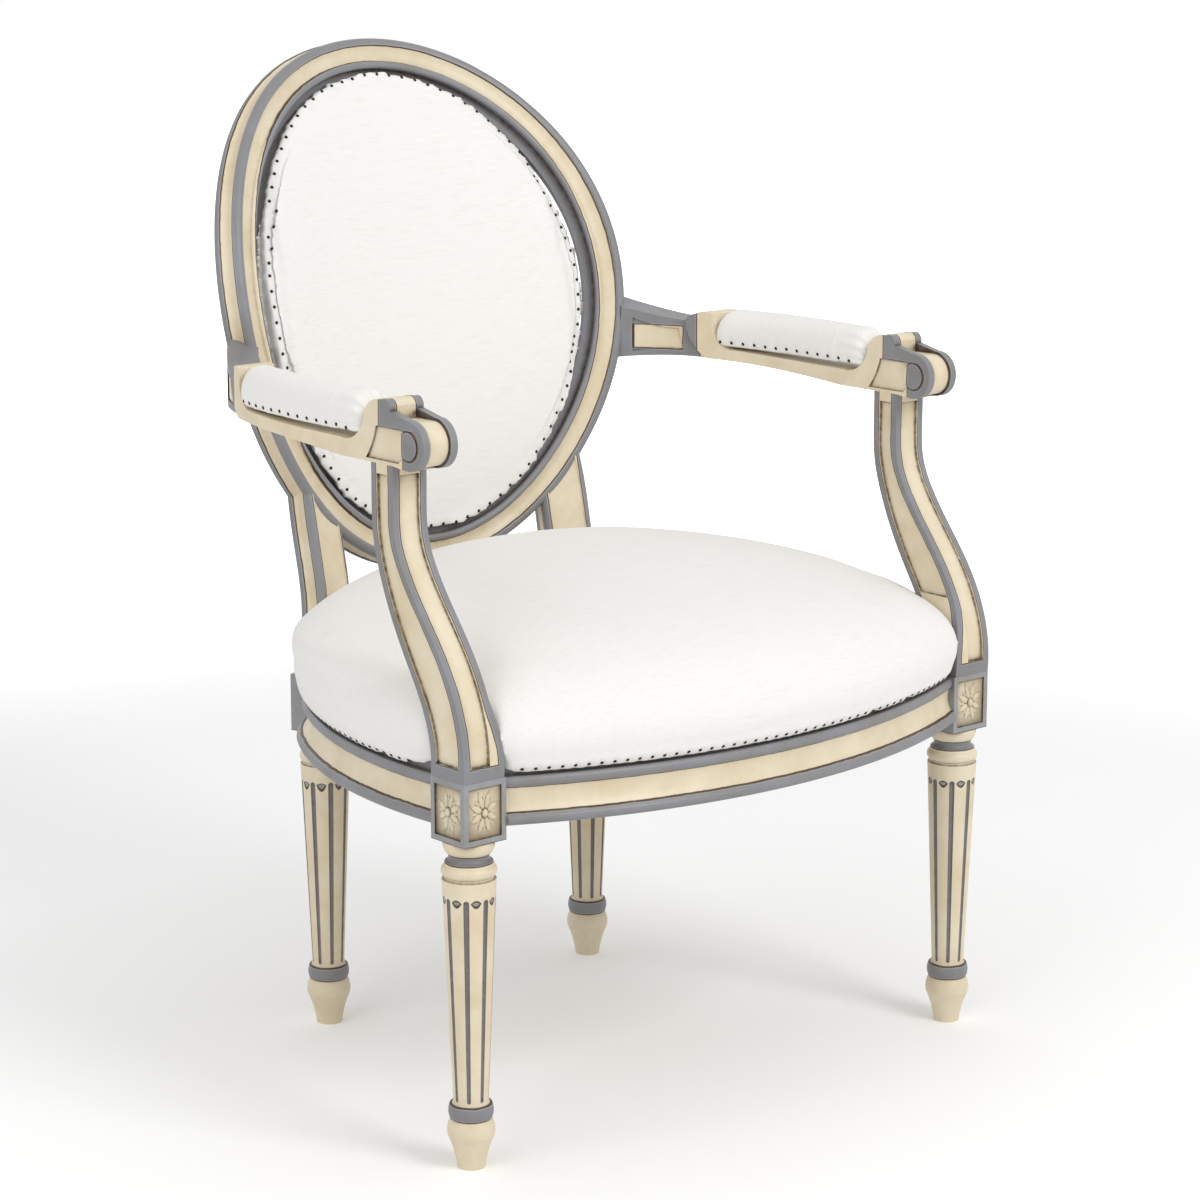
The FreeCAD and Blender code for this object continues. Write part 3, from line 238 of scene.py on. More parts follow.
def frameGrey(tree, x, y, z):
    across, along, depth = backPlace(tree, x, y, z)
    high = addNode(tree, "DIVIDE", along, backPlan["halfHeight"])
    width = addNode(tree, "MULTIPLY_ADD", high, backPlan["egg"] * backPlan["halfWidth"], backPlan["halfWidth"])
    wide = addNode(tree, "DIVIDE", across, width)
    q = lengthOf(tree, high, wide)
    slopeHigh = addNode(tree, "DIVIDE", high, backPlan["halfHeight"])
    gradient = lengthOf(tree, slopeHigh, addNode(tree, "DIVIDE", wide, width))
    short = addNode(tree, "MULTIPLY", addNode(tree, "SUBTRACT", 1.0, q), q)
    inset = addNode(tree, "DIVIDE", short, gradient)
    edges = outside(tree, depth, backPlan["frontBead"], backPlan["rearBead"])
    outer = addNode(tree, "MINIMUM", addNode(tree, "SUBTRACT", backPlan["outerBead"], inset), edges)
    return addNode(tree, "MAXIMUM", outer, addNode(tree, "SUBTRACT", inset, backPlan["innerBead"]))


# A stile of the back: it leans inwards and widens between the two heights
stilePlan = {"heights": (360.6, 452.0), "middle": (170.0, 151.0), "half": (23.5, 25.5), "bead": 7.6}


def stileGrey(tree, x, y, z):
    across, along, depth = backPlace(tree, x, y, z)
    heights = stilePlan["heights"]
    middle = addNode(tree, "MapRange", z, *heights, *stilePlan["middle"], interpolation_type="SMOOTHSTEP")
    half = addNode(tree, "MapRange", z, *heights, *stilePlan["half"], interpolation_type="SMOOTHSTEP")
    side = addNode(tree, "SUBTRACT", half, addNode(tree, "ABSOLUTE", addNode(tree, "SUBTRACT", across, middle)))
    edges = outside(tree, depth, backPlan["frontBead"], backPlan["rearBead"])
    return addNode(tree, "MINIMUM", addNode(tree, "SUBTRACT", stilePlan["bead"], side), edges)


# An arm: the scroll's centre, its rim, disc and side beads, and the cream panel of the neck
armPlan = {
    "sides": (291.0, 328.6), "scrollY": 50.0, "scrollZ": 648.0, "rim": 14.0, "disc": 12.6, "scrollTo": 58.0,
    "hump": (661.0, 92.0), "bead": 8.0, "neckFrom": 340.0, "panelY": (357.5, 404.0), "panelZ": (643.5, 668.0),
}


def armGrey(tree, x, y, z):
    plan = armPlan
    sides = inside(tree, x, *plan["sides"])
    offY = addNode(tree, "SUBTRACT", y, plan["scrollY"])
    reach = lengthOf(tree, offY, addNode(tree, "SUBTRACT", z, plan["scrollZ"]))
    rim = addNode(tree, "SUBTRACT", reach, plan["rim"])
    disc = addNode(tree, "SUBTRACT", plan["disc"], reach)
    ahead = addNode(tree, "SUBTRACT", plan["scrollTo"], y)
    scroll = addNode(tree, "MINIMUM", addNode(tree, "MAXIMUM", rim, disc), ahead)
    high, rear = plan["hump"]
    over = addNode(tree, "MINIMUM", addNode(tree, "SUBTRACT", z, high), addNode(tree, "SUBTRACT", rear, y))
    beads = addNode(tree, "SUBTRACT", plan["bead"], sides)
    scroll = addNode(tree, "MINIMUM", addNode(tree, "MAXIMUM", scroll, over), beads)
    border = addNode(tree, "MAXIMUM", outside(tree, y, *plan["panelY"]), outside(tree, z, *plan["panelZ"]))
    neck = addNode(tree, "MINIMUM", addNode(tree, "SUBTRACT", y, plan["neckFrom"]), border)
    return addNode(tree, "MAXIMUM", scroll, neck)


def paintedWood(name, greyOf):
    material, tree, shader = newMaterial(name)
    x, y, z, place = placeIn(tree)
    grey = greyOf(tree, x, y, z)
    # brush-thick wobble of the painted edge, about 0.4 mm
    wobble = addNode(tree, "TexNoise", place, named={"Scale": 0.09, "Detail": 2.0})
    grey = addNode(tree, "ADD", grey, addNode(tree, "MULTIPLY_ADD", wobble, 1.1, -0.55))
    ramp = tree.nodes.new("ShaderNodeValToRGB")
    tree.links.new(addNode(tree, "MapRange", grey, -4.0, 4.0, 0.0, 1.0), ramp.inputs[0])
    bands = ramp.color_ramp.elements
    bands[0].position, bands[0].color = 0.40, linear(paint["cream"])
    bands[1].position, bands[1].color = 0.72, linear(paint["grey"])
    # a dark brown glaze line lies on each cream and grey boundary, and just inside the grey a thin pale grey line is
    # a painted highlight along the bead edge
    for position, colour in ((0.45, paint["glaze"]), (0.53, paint["glaze"]), (0.60, paint["highlightGrey"])):
        band = bands.new(position)
        band.color = linear(colour)
    # cloudy warm patches in the cream, 40 to 80 mm across
    patches = addNode(tree, "TexNoise", place, named={"Scale": 0.022, "Detail": 5.0, "Roughness": 0.62})
    patches = addNode(tree, "MapRange", patches, 0.38, 0.72, 0.0, 0.55)
    warm = mixed(tree, patches, ramp.outputs[0], linear(paint["creamWarm"]), blend_type="MULTIPLY")
    # brown glaze left where the cloth could not wipe it away
    hidden = addNode(tree, "AmbientOcclusion", named={"Distance": paint["glazeReach"]}, out=1, samples=8,
                     only_local=True)
    dirt = addNode(tree, "TexNoise", place, named={"Scale": 0.16, "Detail": 4.0, "Roughness": 0.7})
    held = addNode(tree, "MapRange", hidden, 0.90, 0.50, 0.0, 1.0)
    held = addNode(tree, "MULTIPLY", held, addNode(tree, "MapRange", dirt, 0.30, 0.62, 0.35, 1.0))
    colour = mixed(tree, held, warm, linear(paint["glaze"]))
    tree.links.new(colour, shader.inputs["Base Color"])
    shader.inputs["Roughness"].default_value = paint["roughness"]
    shader.inputs["IOR"].default_value = 1.48
    # fine brush texture, 1 to 2 mm
    strokes = addNode(tree, "TexNoise", place, named={"Scale": 0.5, "Detail": 3.0})
    bump = addNode(tree, "Bump", named={"Strength": 0.12, "Distance": 0.0006, "Height": strokes})
    tree.links.new(bump, shader.inputs["Normal"])
    return material


def paintWood():
    frontLeg = paintedWood("paintFrontLeg", lambda t, x, y, z: legGrey(t, x, y, z, legPlan["frontX"], 0.0, 0.0))

    def rearGrey(tree, x, y, z):
        low = legGrey(tree, x, y, z, legPlan["rearX"], legPlan["rearY"], legPlan["rearToe"])
        high = stileGrey(tree, x, y, z)
        over = addNode(tree, "GREATER_THAN", z, legPlan["dieTop"])
        return addNode(tree, "Mix", named={0: over, 2: low, 3: high})

    rearLeg = paintedWood("paintRearLeg", rearGrey)
    rail = paintedWood("paintSeatRail", railGrey)
    support = paintedWood("paintArmSupport", supportGrey)
    oval = paintedWood("paintOvalFrame", frameGrey)
    arm = paintedWood("paintArm", armGrey)
    wear = {"front_leg": frontLeg, "rear_leg": rearLeg, "rear_rail": rail, "front_rail": rail, "side_rail": rail,
            "arm_support": support, "back_crest": oval, "back_side": oval, "back_bottom": oval, "arm_left": arm,
            "arm_right": arm}
    for name, node in nodes.items():
        for start, material in wear.items():
            if name.startswith(start):
                node.data.materials.clear()
                node.data.materials.append(material)


# Plain cotton muslin, woven and unbleached: matt, faintly fuzzy, with slubs along its threads
muslin = {"cloth": "#ECEAE7", "slub": "#E0DCD6", "thread": 1.3, "roughness": 0.88}


def muslinCloth():
    material, tree, shader = newMaterial("cottonMuslin")
    spot = addNode(tree, "TexCoord", out=3)
    place = addNode(tree, "VectorMath", spot, (1000, 1000, 1000), operation="MULTIPLY")
    # threads are 0.5 mm apart on the real cloth, drawn at 1.3 mm so that they show
    threads = weave(tree, place, muslin["thread"], "XZ", 1.2)
    drawn = addNode(tree, "VectorMath", place, (0.03, 0.4, 0.4), operation="MULTIPLY")
    slubs = addNode(tree, "TexNoise", drawn, named={"Scale": 1.0, "Detail": 3.0})
    slubs = addNode(tree, "MapRange", slubs, 0.50, 0.80, 0.0, 0.5)
    colour = mixed(tree, slubs, linear(muslin["cloth"]), linear(muslin["slub"]))
    tree.links.new(colour, shader.inputs["Base Color"])
    shader.inputs["Roughness"].default_value = muslin["roughness"]
    shader.inputs["Sheen Weight"].default_value = 0.15
    shader.inputs["Sheen Roughness"].default_value = 0.5
    folds = addNode(tree, "TexNoise", place, named={"Scale": 0.012, "Detail": 3.0, "Roughness": 0.45})
    height = addNode(tree, "MULTIPLY_ADD", folds, 1.2, addNode(tree, "MULTIPLY", threads, 0.2))
    bump = addNode(tree, "Bump", named={"Strength": 0.14, "Distance": 0.0012, "Height": height})
    tree.links.new(bump, shader.inputs["Normal"])
    return material


# Meshes of CAD nodes, merged, and a tree to measure distances to the wood round a cushion
def nodeCopy(name, *others):
    build = bmesh.new()
    for node in (name,) + others:
        build.from_mesh(nodes[node].data)
    bmesh.ops.remove_doubles(build, verts=build.verts, dist=0.00002)
    mesh = bpy.data.meshes.new(name + "Copy")
    build.to_mesh(mesh)
    build.free()
    return mesh


def woodTree(*names):
    points, faces = [], []
    for name in names:
        start = len(points)
        points += [corner.co.copy() for corner in nodes[name].data.vertices]
        faces += [[index + start for index in face.vertices] for face in nodes[name].data.polygons]
    return BVHTree.FromPolygons(points, faces)


def bothSides(*starts):
    return [start + end for start in starts for end in ("left", "right")]


def treeOf(mesh):
    return BVHTree.FromPolygons([corner.co for corner in mesh.vertices], [face.vertices for face in mesh.polygons])


def applied(piece):
    graph = bpy.context.evaluated_depsgraph_get()
    mesh = bpy.data.meshes.new_from_object(piece.evaluated_get(graph))
    piece.modifiers.clear()
    return mesh


# Blows a cushion up under its cloth, then limits how far each point has moved
def puff(mesh, held, pressure, cap, around):
    piece = bpy.data.objects.new("puffing", mesh)
    bpy.context.scene.collection.objects.link(piece)
    group = piece.vertex_groups.new(name="held")
    for index in held:
        group.add([index], 1.0, "REPLACE")
    cloth = piece.modifiers.new("cloth", "CLOTH")
    cloth.settings.quality = 5
    cloth.settings.mass = 0.3
    cloth.settings.use_pressure = True
    cloth.settings.uniform_pressure_force = pressure
    cloth.settings.vertex_group_mass = "held"
    cloth.settings.effector_weights.gravity = 0
    cloth.settings.tension_stiffness = 20
    cloth.settings.compression_stiffness = 20
    cloth.settings.bending_stiffness = 2
    for step in range(1, 21):
        bpy.context.scene.frame_set(step)
    result = applied(piece)
    bpy.data.objects.remove(piece)
    bpy.context.scene.frame_set(1)
    for before, after in zip(mesh.vertices, result.vertices):
        move = after.co - before.co
        allowed = cap
        if around:
            near = around.find_nearest(before.co)[3]
            allowed = min(cap, max(0.0, near - 0.0004))
        if move.length > allowed:
            after.co = before.co + move.normalized() * allowed
    return result


def evenOut(build, points):
    bmesh.ops.smooth_vert(build, verts=points, factor=0.5, use_axis_x=True, use_axis_y=True, use_axis_z=True)


def smoothed(mesh, rounds):
    build = bmesh.new()
    build.from_mesh(mesh)
    for _ in range(rounds):
        evenOut(build, build.verts)
    build.to_mesh(mesh)
    build.free()


def refine(mesh):
    piece = bpy.data.objects.new("refining", mesh)
    bpy.context.scene.collection.objects.link(piece)
    divide = piece.modifiers.new("divide", "SUBSURF")
    divide.levels = divide.render_levels = 1
    result = applied(piece)
    bpy.data.objects.remove(piece)
    for face in result.polygons:
        face.use_smooth = True
    return result


# Cloth drawn down at each tack, with a slight swell between neighbours
def pullDown(mesh, tacks, depth, reach):  # both in metres
    tree = kdtree.KDTree(len(mesh.vertices))
    for index, corner in enumerate(mesh.vertices):
        tree.insert(corner.co, index)
    tree.balance()
    normals = [Vector(corner.normal) for corner in mesh.vertices]
    moves = {}
    for tack in tacks:
        for place, index, away in tree.find_range(tack, reach * 2.2):
            moves[index] = min(moves.get(index, 0), -depth * math.exp(-(away / reach) ** 2))
    for index, move in moves.items():
        mesh.vertices[index].co += normals[index] * move


# Tack heads: Geometry Nodes sets one dome on every point, square to the cloth under it
tack = {"radius": 1.8, "rise": 0.6, "spacing": 12.3, "colour": "#2A2320"}


def tackTree():
    tree = bpy.data.node_groups.new("tackHeads", "GeometryNodeTree")
    for name, kind in (("Geometry", "NodeSocketGeometry"), ("Cloth", "NodeSocketObject"),
                       ("Head Radius", "NodeSocketFloat"), ("Head Rise", "NodeSocketFloat"),
                       ("Head Metal", "NodeSocketMaterial")):
        tree.interface.new_socket(name, in_out="INPUT", socket_type=kind)
    tree.interface.new_socket("Geometry", in_out="OUTPUT", socket_type="NodeSocketGeometry")
    made = {}
    for kind in ("NodeGroupInput", "NodeGroupOutput", "GeometryNodeObjectInfo", "GeometryNodeSampleNearestSurface",
                 "GeometryNodeInputNormal", "FunctionNodeAlignEulerToVector", "GeometryNodeMeshUVSphere",
                 "GeometryNodeInstanceOnPoints", "GeometryNodeRealizeInstances", "GeometryNodeSetMaterial",
                 "ShaderNodeCombineXYZ", "GeometryNodeMeshToPoints", "GeometryNodeProximity",
                 "GeometryNodeSetPosition"):
        made[kind] = tree.nodes.new(kind)
    get, put = made["NodeGroupInput"], made["NodeGroupOutput"]
    cloth, sample = made["GeometryNodeObjectInfo"], made["GeometryNodeSampleNearestSurface"]
    normal, turn = made["GeometryNodeInputNormal"], made["FunctionNodeAlignEulerToVector"]
    ball, heads = made["GeometryNodeMeshUVSphere"], made["GeometryNodeInstanceOnPoints"]
    real, metal = made["GeometryNodeRealizeInstances"], made["GeometryNodeSetMaterial"]
    size, dots = made["ShaderNodeCombineXYZ"], made["GeometryNodeMeshToPoints"]
    nearest, move = made["GeometryNodeProximity"], made["GeometryNodeSetPosition"]
    cloth.transform_space = "RELATIVE"
    sample.data_type = "FLOAT_VECTOR"
    turn.axis = "Z"
    ball.inputs["Segments"].default_value = 10
    ball.inputs["Rings"].default_value = 6
    ball.inputs["Radius"].default_value = 1.0
    link = tree.links.new
    link(get.outputs["Cloth"], cloth.inputs[0])
    link(get.outputs["Geometry"], dots.inputs["Mesh"])
    link(cloth.outputs["Geometry"], nearest.inputs[0])
    link(dots.outputs[0], move.inputs["Geometry"])
    link(nearest.outputs["Position"], move.inputs["Position"])
    link(move.outputs[0], heads.inputs["Points"])
    link(cloth.outputs["Geometry"], sample.inputs["Mesh"])
    link(normal.outputs[0], sample.inputs["Value"])
    link(sample.outputs[0], turn.inputs["Vector"])
    link(turn.outputs[0], heads.inputs["Rotation"])
    link(ball.outputs["Mesh"], heads.inputs["Instance"])
    link(get.outputs["Head Radius"], size.inputs[0])
    link(get.outputs["Head Radius"], size.inputs[1])
    link(get.outputs["Head Rise"], size.inputs[2])
    link(size.outputs[0], heads.inputs["Scale"])
    link(heads.outputs[0], real.inputs[0])
    link(real.outputs[0], metal.inputs["Geometry"])
    link(get.outputs["Head Metal"], metal.inputs["Material"])
    link(metal.outputs[0], put.inputs[0])
    return tree


def tackMetal():
    material, tree, shader = newMaterial("bluedTack")
    shader.inputs["Base Color"].default_value = linear(tack["colour"])
    shader.inputs["Metallic"].default_value = 0.6
    shader.inputs["Roughness"].default_value = 0.45
    return material


def setTacks(name, tree, points, cloth, metal):
    mesh = bpy.data.meshes.new(name + "Points")
    mesh.from_pydata([tuple(point) for point in points], [], [])
    piece = bpy.data.objects.new(name, mesh)
    bpy.context.scene.collection.objects.link(piece)
    heads = piece.modifiers.new("heads", "NODES")
    heads.node_group = tree
    given = {"Cloth": cloth, "Head Radius": tack["radius"] * mm, "Head Rise": tack["rise"] * mm * 2,
             "Head Metal": metal}
    for socket in tree.interface.items_tree:
        if socket.item_type == "SOCKET" and socket.name in given:
            heads[socket.identifier] = given[socket.name]
    bpy.context.view_layer.update()
    result = applied(piece)
    for face in result.polygons:
        face.use_smooth = True
    bpy.data.objects.remove(piece)
    addPiece(name, result)
    return result


def spaced(path, gap, closed=False):
    ring = path + [path[0]] if closed else path
    lengths = [0.0]
    for first, second in zip(ring, ring[1:]):
        lengths.append(lengths[-1] + (second - first).length)
    count = max(1, round(lengths[-1] / gap))
    points, step = [], 0
    for index in range(count if closed else count + 1):
        target = lengths[-1] * index / count
        while step < len(lengths) - 2 and lengths[step + 1] < target:
            step += 1
        share = (target - lengths[step]) / max(1e-9, lengths[step + 1] - lengths[step])
        points.append(ring[step].lerp(ring[step + 1], share))
    return points


# Turns a mesh into one closed skin of even quads
def remeshed(mesh, voxel):
    piece = bpy.data.objects.new("remeshing", mesh)
    bpy.context.scene.collection.objects.link(piece)
    remesh = piece.modifiers.new("remesh", "REMESH")
    remesh.mode = "VOXEL"
    remesh.voxel_size = voxel * mm
    result = applied(piece)
    bpy.data.objects.remove(piece)
    return result


# Points that have sunk into wood come back out to just clear of it, then the cloth round them evens out
def insideWood(around, point):
    way = Vector((0.31, 0.52, 0.79)).normalized()
    hits, start = 0, point
    while hits < 12:
        hit = around.ray_cast(start, way)[0]
        if hit is None:
            break
        hits += 1
        start = hit + way * 0.00002
    return hits % 2 == 1


def pressOut(mesh, around, clear, rounds=2):
    for turn in range(rounds):
        moved = set()
        for corner in mesh.vertices:
            place, normal, _, away = around.find_nearest(corner.co)
            if away < 0.02 and (corner.co - place).dot(normal) < 0 and insideWood(around, corner.co):
                corner.co = place + (place - corner.co).normalized() * clear
                moved.add(corner.index)
        if turn == rounds - 1 or not moved:
            break
        build = bmesh.new()
        build.from_mesh(mesh)
        build.verts.ensure_lookup_table()
        near = {build.verts[index] for index in moved}
        near |= {edge.other_vert(corner) for corner in near for edge in corner.link_edges}
        for _ in range(3):
            evenOut(build, list(near))
        build.to_mesh(mesh)
        build.free()


# Seat: the crowned cushion, drawn down over the rails and tacked along them. Each row of the dome
# is its height, half width, half depth and the place of its middle behind the front legs
seat = {
    "voxel": 5.0, "pressure": 4.0, "cap": 3.0, "tackHeight": 364.8, "power": 2.2, "frontCorner": (0.268, -0.205),
    "rearCorner": (0.135, 0.128), "tackDepth": 0.0014, "tackReach": 0.005,
    "dome": ((404, 316, 250, 168), (419, 320, 253, 168), (433, 318, 250, 170), (445, 294, 232, 176),
             (455, 270, 213, 182), (464, 240, 190, 190), (472, 205, 165, 201), (480, 162, 132, 210),
             (486, 118, 96, 216), (489.5, 66, 54, 220), (490.5, 20, 16, 221)),
}


def seatDome():
    points, faces = [], []
    sides = 96
    for height, wide, deep, middle in seat["dome"]:
        for index in range(sides):
            turn = 2 * math.pi * index / sides
            across, back = math.cos(turn), math.sin(turn)
            reach = (abs(across) ** seat["power"] + abs(back) ** seat["power"]) ** (-1 / seat["power"])
            points.append(Vector((wide * across * reach, middle + deep * back * reach, height)) * mm)
            points[-1].y += frontLine
    rows = len(seat["dome"])
    for row in range(rows - 1):
        for index in range(sides):
            after = (index + 1) % sides
            low, high = row * sides, (row + 1) * sides
            faces.append((low + index, low + after, high + after, high + index))
    faces.append(tuple(reversed(range(sides))))
    faces.append(tuple((rows - 1) * sides + index for index in range(sides)))
    return points, faces


def makeSeat():
    mesh = nodeCopy("seat_cover", "seat_stuffing")
    build = bmesh.new()
    build.from_mesh(mesh)
    points, faces = seatDome()
    corners = [build.verts.new(point) for point in points]
    for face in faces:
        build.faces.new([corners[index] for index in face])
    build.to_mesh(mesh)
    build.free()
    mesh = remeshed(mesh, seat["voxel"])
    smoothed(mesh, 6)
    wood = woodTree("front_rail", "rear_rail", "seat_hessian", "back_bottom_rail", *bothSides(
        "arm_support_", "rear_leg_", "front_leg_", "side_rail_", "back_side_"))
    pressOut(mesh, wood, 0.0006)
    held = [corner.index for corner in mesh.vertices if corner.co.z < 0.3685]
    mesh = puff(mesh, held, seat["pressure"], seat["cap"] * mm, wood)
    smoothed(mesh, 2)
    pressOut(mesh, wood, 0.0006)
    return refine(mesh)


def seatEdge(mesh):
    tree = treeOf(mesh)
    middle = Vector((0, -0.04, seat["tackHeight"] * mm))
    points = []
    for index in range(720):
        turn = math.radians(index / 2)
        ray = Vector((math.cos(turn), math.sin(turn), 0))
        hit = tree.ray_cast(middle + ray * 0.7, -ray, 0.7)[0]
        points.append(hit if hit else None)
    return points


# Runs of the edge between the front corners and the rear legs, where tacks can go
def seatTackLines(points):
    (frontX, frontY), (rearX, rearY) = seat["frontCorner"], seat["rearCorner"]
    lines, line = [], []
    for point in points:
        apart = line and point and (point - line[-1]).length > 0.02
        x, y = (abs(point.x), point.y) if point else (0, 0)
        blocked = point is None or (x > frontX and y < frontY) or (x > rearX and y > rearY)
        if blocked or apart:
            if len(line) > 4:
                lines.append(line)
            line = []
        if not blocked:
            line.append(point)
    if len(line) > 4:
        lines.append(line)
    return lines


def addSeat(cloth, heads, metal):
    mesh = makeSeat()
    tacks = []
    for line in seatTackLines(seatEdge(mesh)):
        tacks += spaced(line, tack["spacing"] * mm)
    pullDown(mesh, tacks, seat["tackDepth"], seat["tackReach"])
    piece = addPiece("seatCloth", mesh, cloth)
    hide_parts("seat_cover", "seat_stuffing")
    setTacks("seatTacks", heads, tacks, piece, metal)
    print("seat ready:", len(tacks), "tacks")


# Back: a place from its distance across, its height up the rake and its depth behind the front face
def onBack(across, along, depth):
    sine, cosine, reach = math.sin(backPlan["rake"]), math.cos(backPlan["rake"]), backPlan["radius"] + depth
    x = math.sin(across / backPlan["radius"]) * reach
    rear = math.cos(across / backPlan["radius"]) * reach - backPlan["radius"]
    y = along * sine + rear * cosine + backPlan["surfaceY"]
    z = along * cosine - rear * sine + backPlan["height"]
    return Vector((x, y + frontLine * 1000, z)) * mm


# The other way round: across, along and depth of a place
def fromBack(place):
    sine, cosine, radius = math.sin(backPlan["rake"]), math.cos(backPlan["rake"]), backPlan["radius"]
    x = place.x / mm
    y = place.y / mm - frontLine * 1000 - backPlan["surfaceY"]
    z = place.z / mm - backPlan["height"]
    toAxis = y * cosine - z * sine + radius
    reach = math.hypot(toAxis, x)
    return x * radius / reach, y * sine + z * cosine, reach - radius


# The egg-shaped oval, drawn in by an inset from its outer edge
def ovalPoint(turn, inset):
    def outer(angle):
        high = math.sin(angle)
        width = backPlan["halfWidth"] * (1 + backPlan["egg"] * high)
        return width * math.cos(angle), backPlan["halfHeight"] * high

    (x, z), (ax, az), (bx, bz) = outer(turn), outer(turn - 0.002), outer(turn + 0.002)
    length = math.hypot(bx - ax, bz - az)
    return x - inset * (bz - az) / length, z + inset * (bx - ax) / length


back = {
    "voxel": 4.5, "pressure": 4.0, "cap": 3.0, "tackInset": 36.5, "spacing": 15.5, "rimLift": 4.0, "rimInset": 30.0,
    "rimReach": 20.0, "rearInset": 35.4, "rearDepth": 24.2, "clothThickness": 1.0, "rearSag": 4.0, "pucker": 0.35,
    "rearRows": 22, "rearSides": 144,
}


# The cloth's rim rides up to the frame's inner bead, so that no deep slot shows round the pad
def liftRim(mesh):
    for corner in mesh.vertices:
        across, along, depth = fromBack(corner.co)
        high = along / backPlan["halfHeight"]
        wide = across / (backPlan["halfWidth"] * (1 + backPlan["egg"] * high))
        inset = (1 - math.hypot(high, wide)) * (backPlan["halfWidth"] + backPlan["halfHeight"]) / 2
        share = min(1.0, max(0.0, 1 - (inset - back["rimInset"]) / back["rimReach"]))
        free = min(1.0, max(0.0, (7.0 - depth) / 4))
        if share > 0 and free > 0:
            lift = back["rimLift"] * free * share * share * (3 - 2 * share)
            corner.co = onBack(across, along, depth - lift)


def nearestOn(mesh, points):
    tree = treeOf(mesh)
    return [tree.find_nearest(point)[0] for point in points]


# Evenly spaced places round the oval, on the cloth
def ovalTacks(mesh, inset, depth):
    turns = [2 * math.pi * index / 400 for index in range(400)]
    ring = nearestOn(mesh, [onBack(*ovalPoint(turn, inset), depth) for turn in turns])
    return spaced(ring, back["spacing"] * mm, closed=True)


# One thin layer stretched from tack to tack over the rear of the oval, sunk a little in its middle
def rearPoints(layer):
    points, rows, sides = [], back["rearRows"], back["rearSides"]
    for row in range(1, rows + 1):
        share = row / rows
        sag = back["rearSag"] * (1 - share ** 2) * (1 if share < 1 else 0)
        for index in range(sides):
            turn = 2 * math.pi * index / sides
            x, z = ovalPoint(turn, back["rearInset"])
            edge = max(0.0, 1 - (1 - share) * 9)
            pucker = back["pucker"] * edge * math.cos(turn * 88) if 0.85 < share < 1 else 0.0
            points.append(onBack(x * share, z * share, back["rearDepth"] + layer - sag + pucker))
    points.append(onBack(0, 0, back["rearDepth"] + layer - back["rearSag"]))
    return points


def rearSheet():
    rows, sides = back["rearRows"], back["rearSides"]
    points = rearPoints(0) + rearPoints(back["clothThickness"])
    count = rows * sides + 1
    faces = []
    for base, order in ((0, 1), (count, -1)):
        for row in range(rows - 1):
            for index in range(sides):
                after = (index + 1) % sides
                quad = (base + row * sides + index, base + row * sides + after,
                        base + (row + 1) * sides + after, base + (row + 1) * sides + index)
                faces.append(quad[::order])
        for index in range(sides):
            faces.append((base + count - 1, base + (index + 1) % sides, base + index)[::order])
    last = (rows - 1) * sides
    for index in range(sides):
        after = (index + 1) % sides
        faces.append((last + after, last + index, count + last + index, count + last + after))
    rear = bpy.data.meshes.new("rearCloth")
    rear.from_pydata(points, [], faces)
    build = bmesh.new()
    build.from_mesh(rear)
    bmesh.ops.recalc_face_normals(build, faces=build.faces)
    build.to_mesh(rear)
    build.free()
    for face in rear.polygons:
        face.use_smooth = True
    return rear


def addBack(cloth, heads, metal):
    frameNames = ["back_crest", "back_side_left", "back_side_right", "back_bottom_rail"]
    mesh = remeshed(nodeCopy("back_cover", "back_stuffing"), back["voxel"])
    smoothed(mesh, 2)
    mesh = puff(mesh, [], back["pressure"], back["cap"] * mm, woodTree(*frameNames))
    smoothed(mesh, 1)
    mesh = refine(mesh)
    liftRim(mesh)
    tacks = ovalTacks(mesh, back["tackInset"], -8.0)
    pullDown(mesh, tacks, 0.0010, 0.006)
    piece = addPiece("backCloth", mesh, cloth)
    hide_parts("back_cover", "back_stuffing", "back_hessian")
    setTacks("backTacks", heads, tacks, piece, metal)
    rear = rearSheet()
    rearPiece = addPiece("rearCloth", rear, cloth)
    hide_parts("back_rear_cover")
    setTacks("rearTacks", heads, ovalTacks(rear, back["rearInset"] + 3.5, 30), rearPiece, metal)
    print("back ready:", len(tacks), "tacks in front")


# Arm pads: muslin over hair, gathered at the front end, each section a rounded arch over the arm
armPad = {
    "voxel": 3.2, "pressure": 4.0, "cap": 1.5, "tackHeight": 652.6, "front": -118.0, "rear": 86.5, "halfWidth": 21.3,
    "low": 649.8, "waist": 661.0, "high": 687.6, "power": 2.5, "endRound": 15.0, "middle": 309.7, "gathers": 9,
    "gatherDepth": 1.3, "gatherLength": 40.0, "tackSpacing": 14.6, "tackRow": (-97.0, 79.0),
}


def padMiddle(y):
    return armPad["middle"] - 8.04e-6 * max(0.0, y + 56) ** 2.9


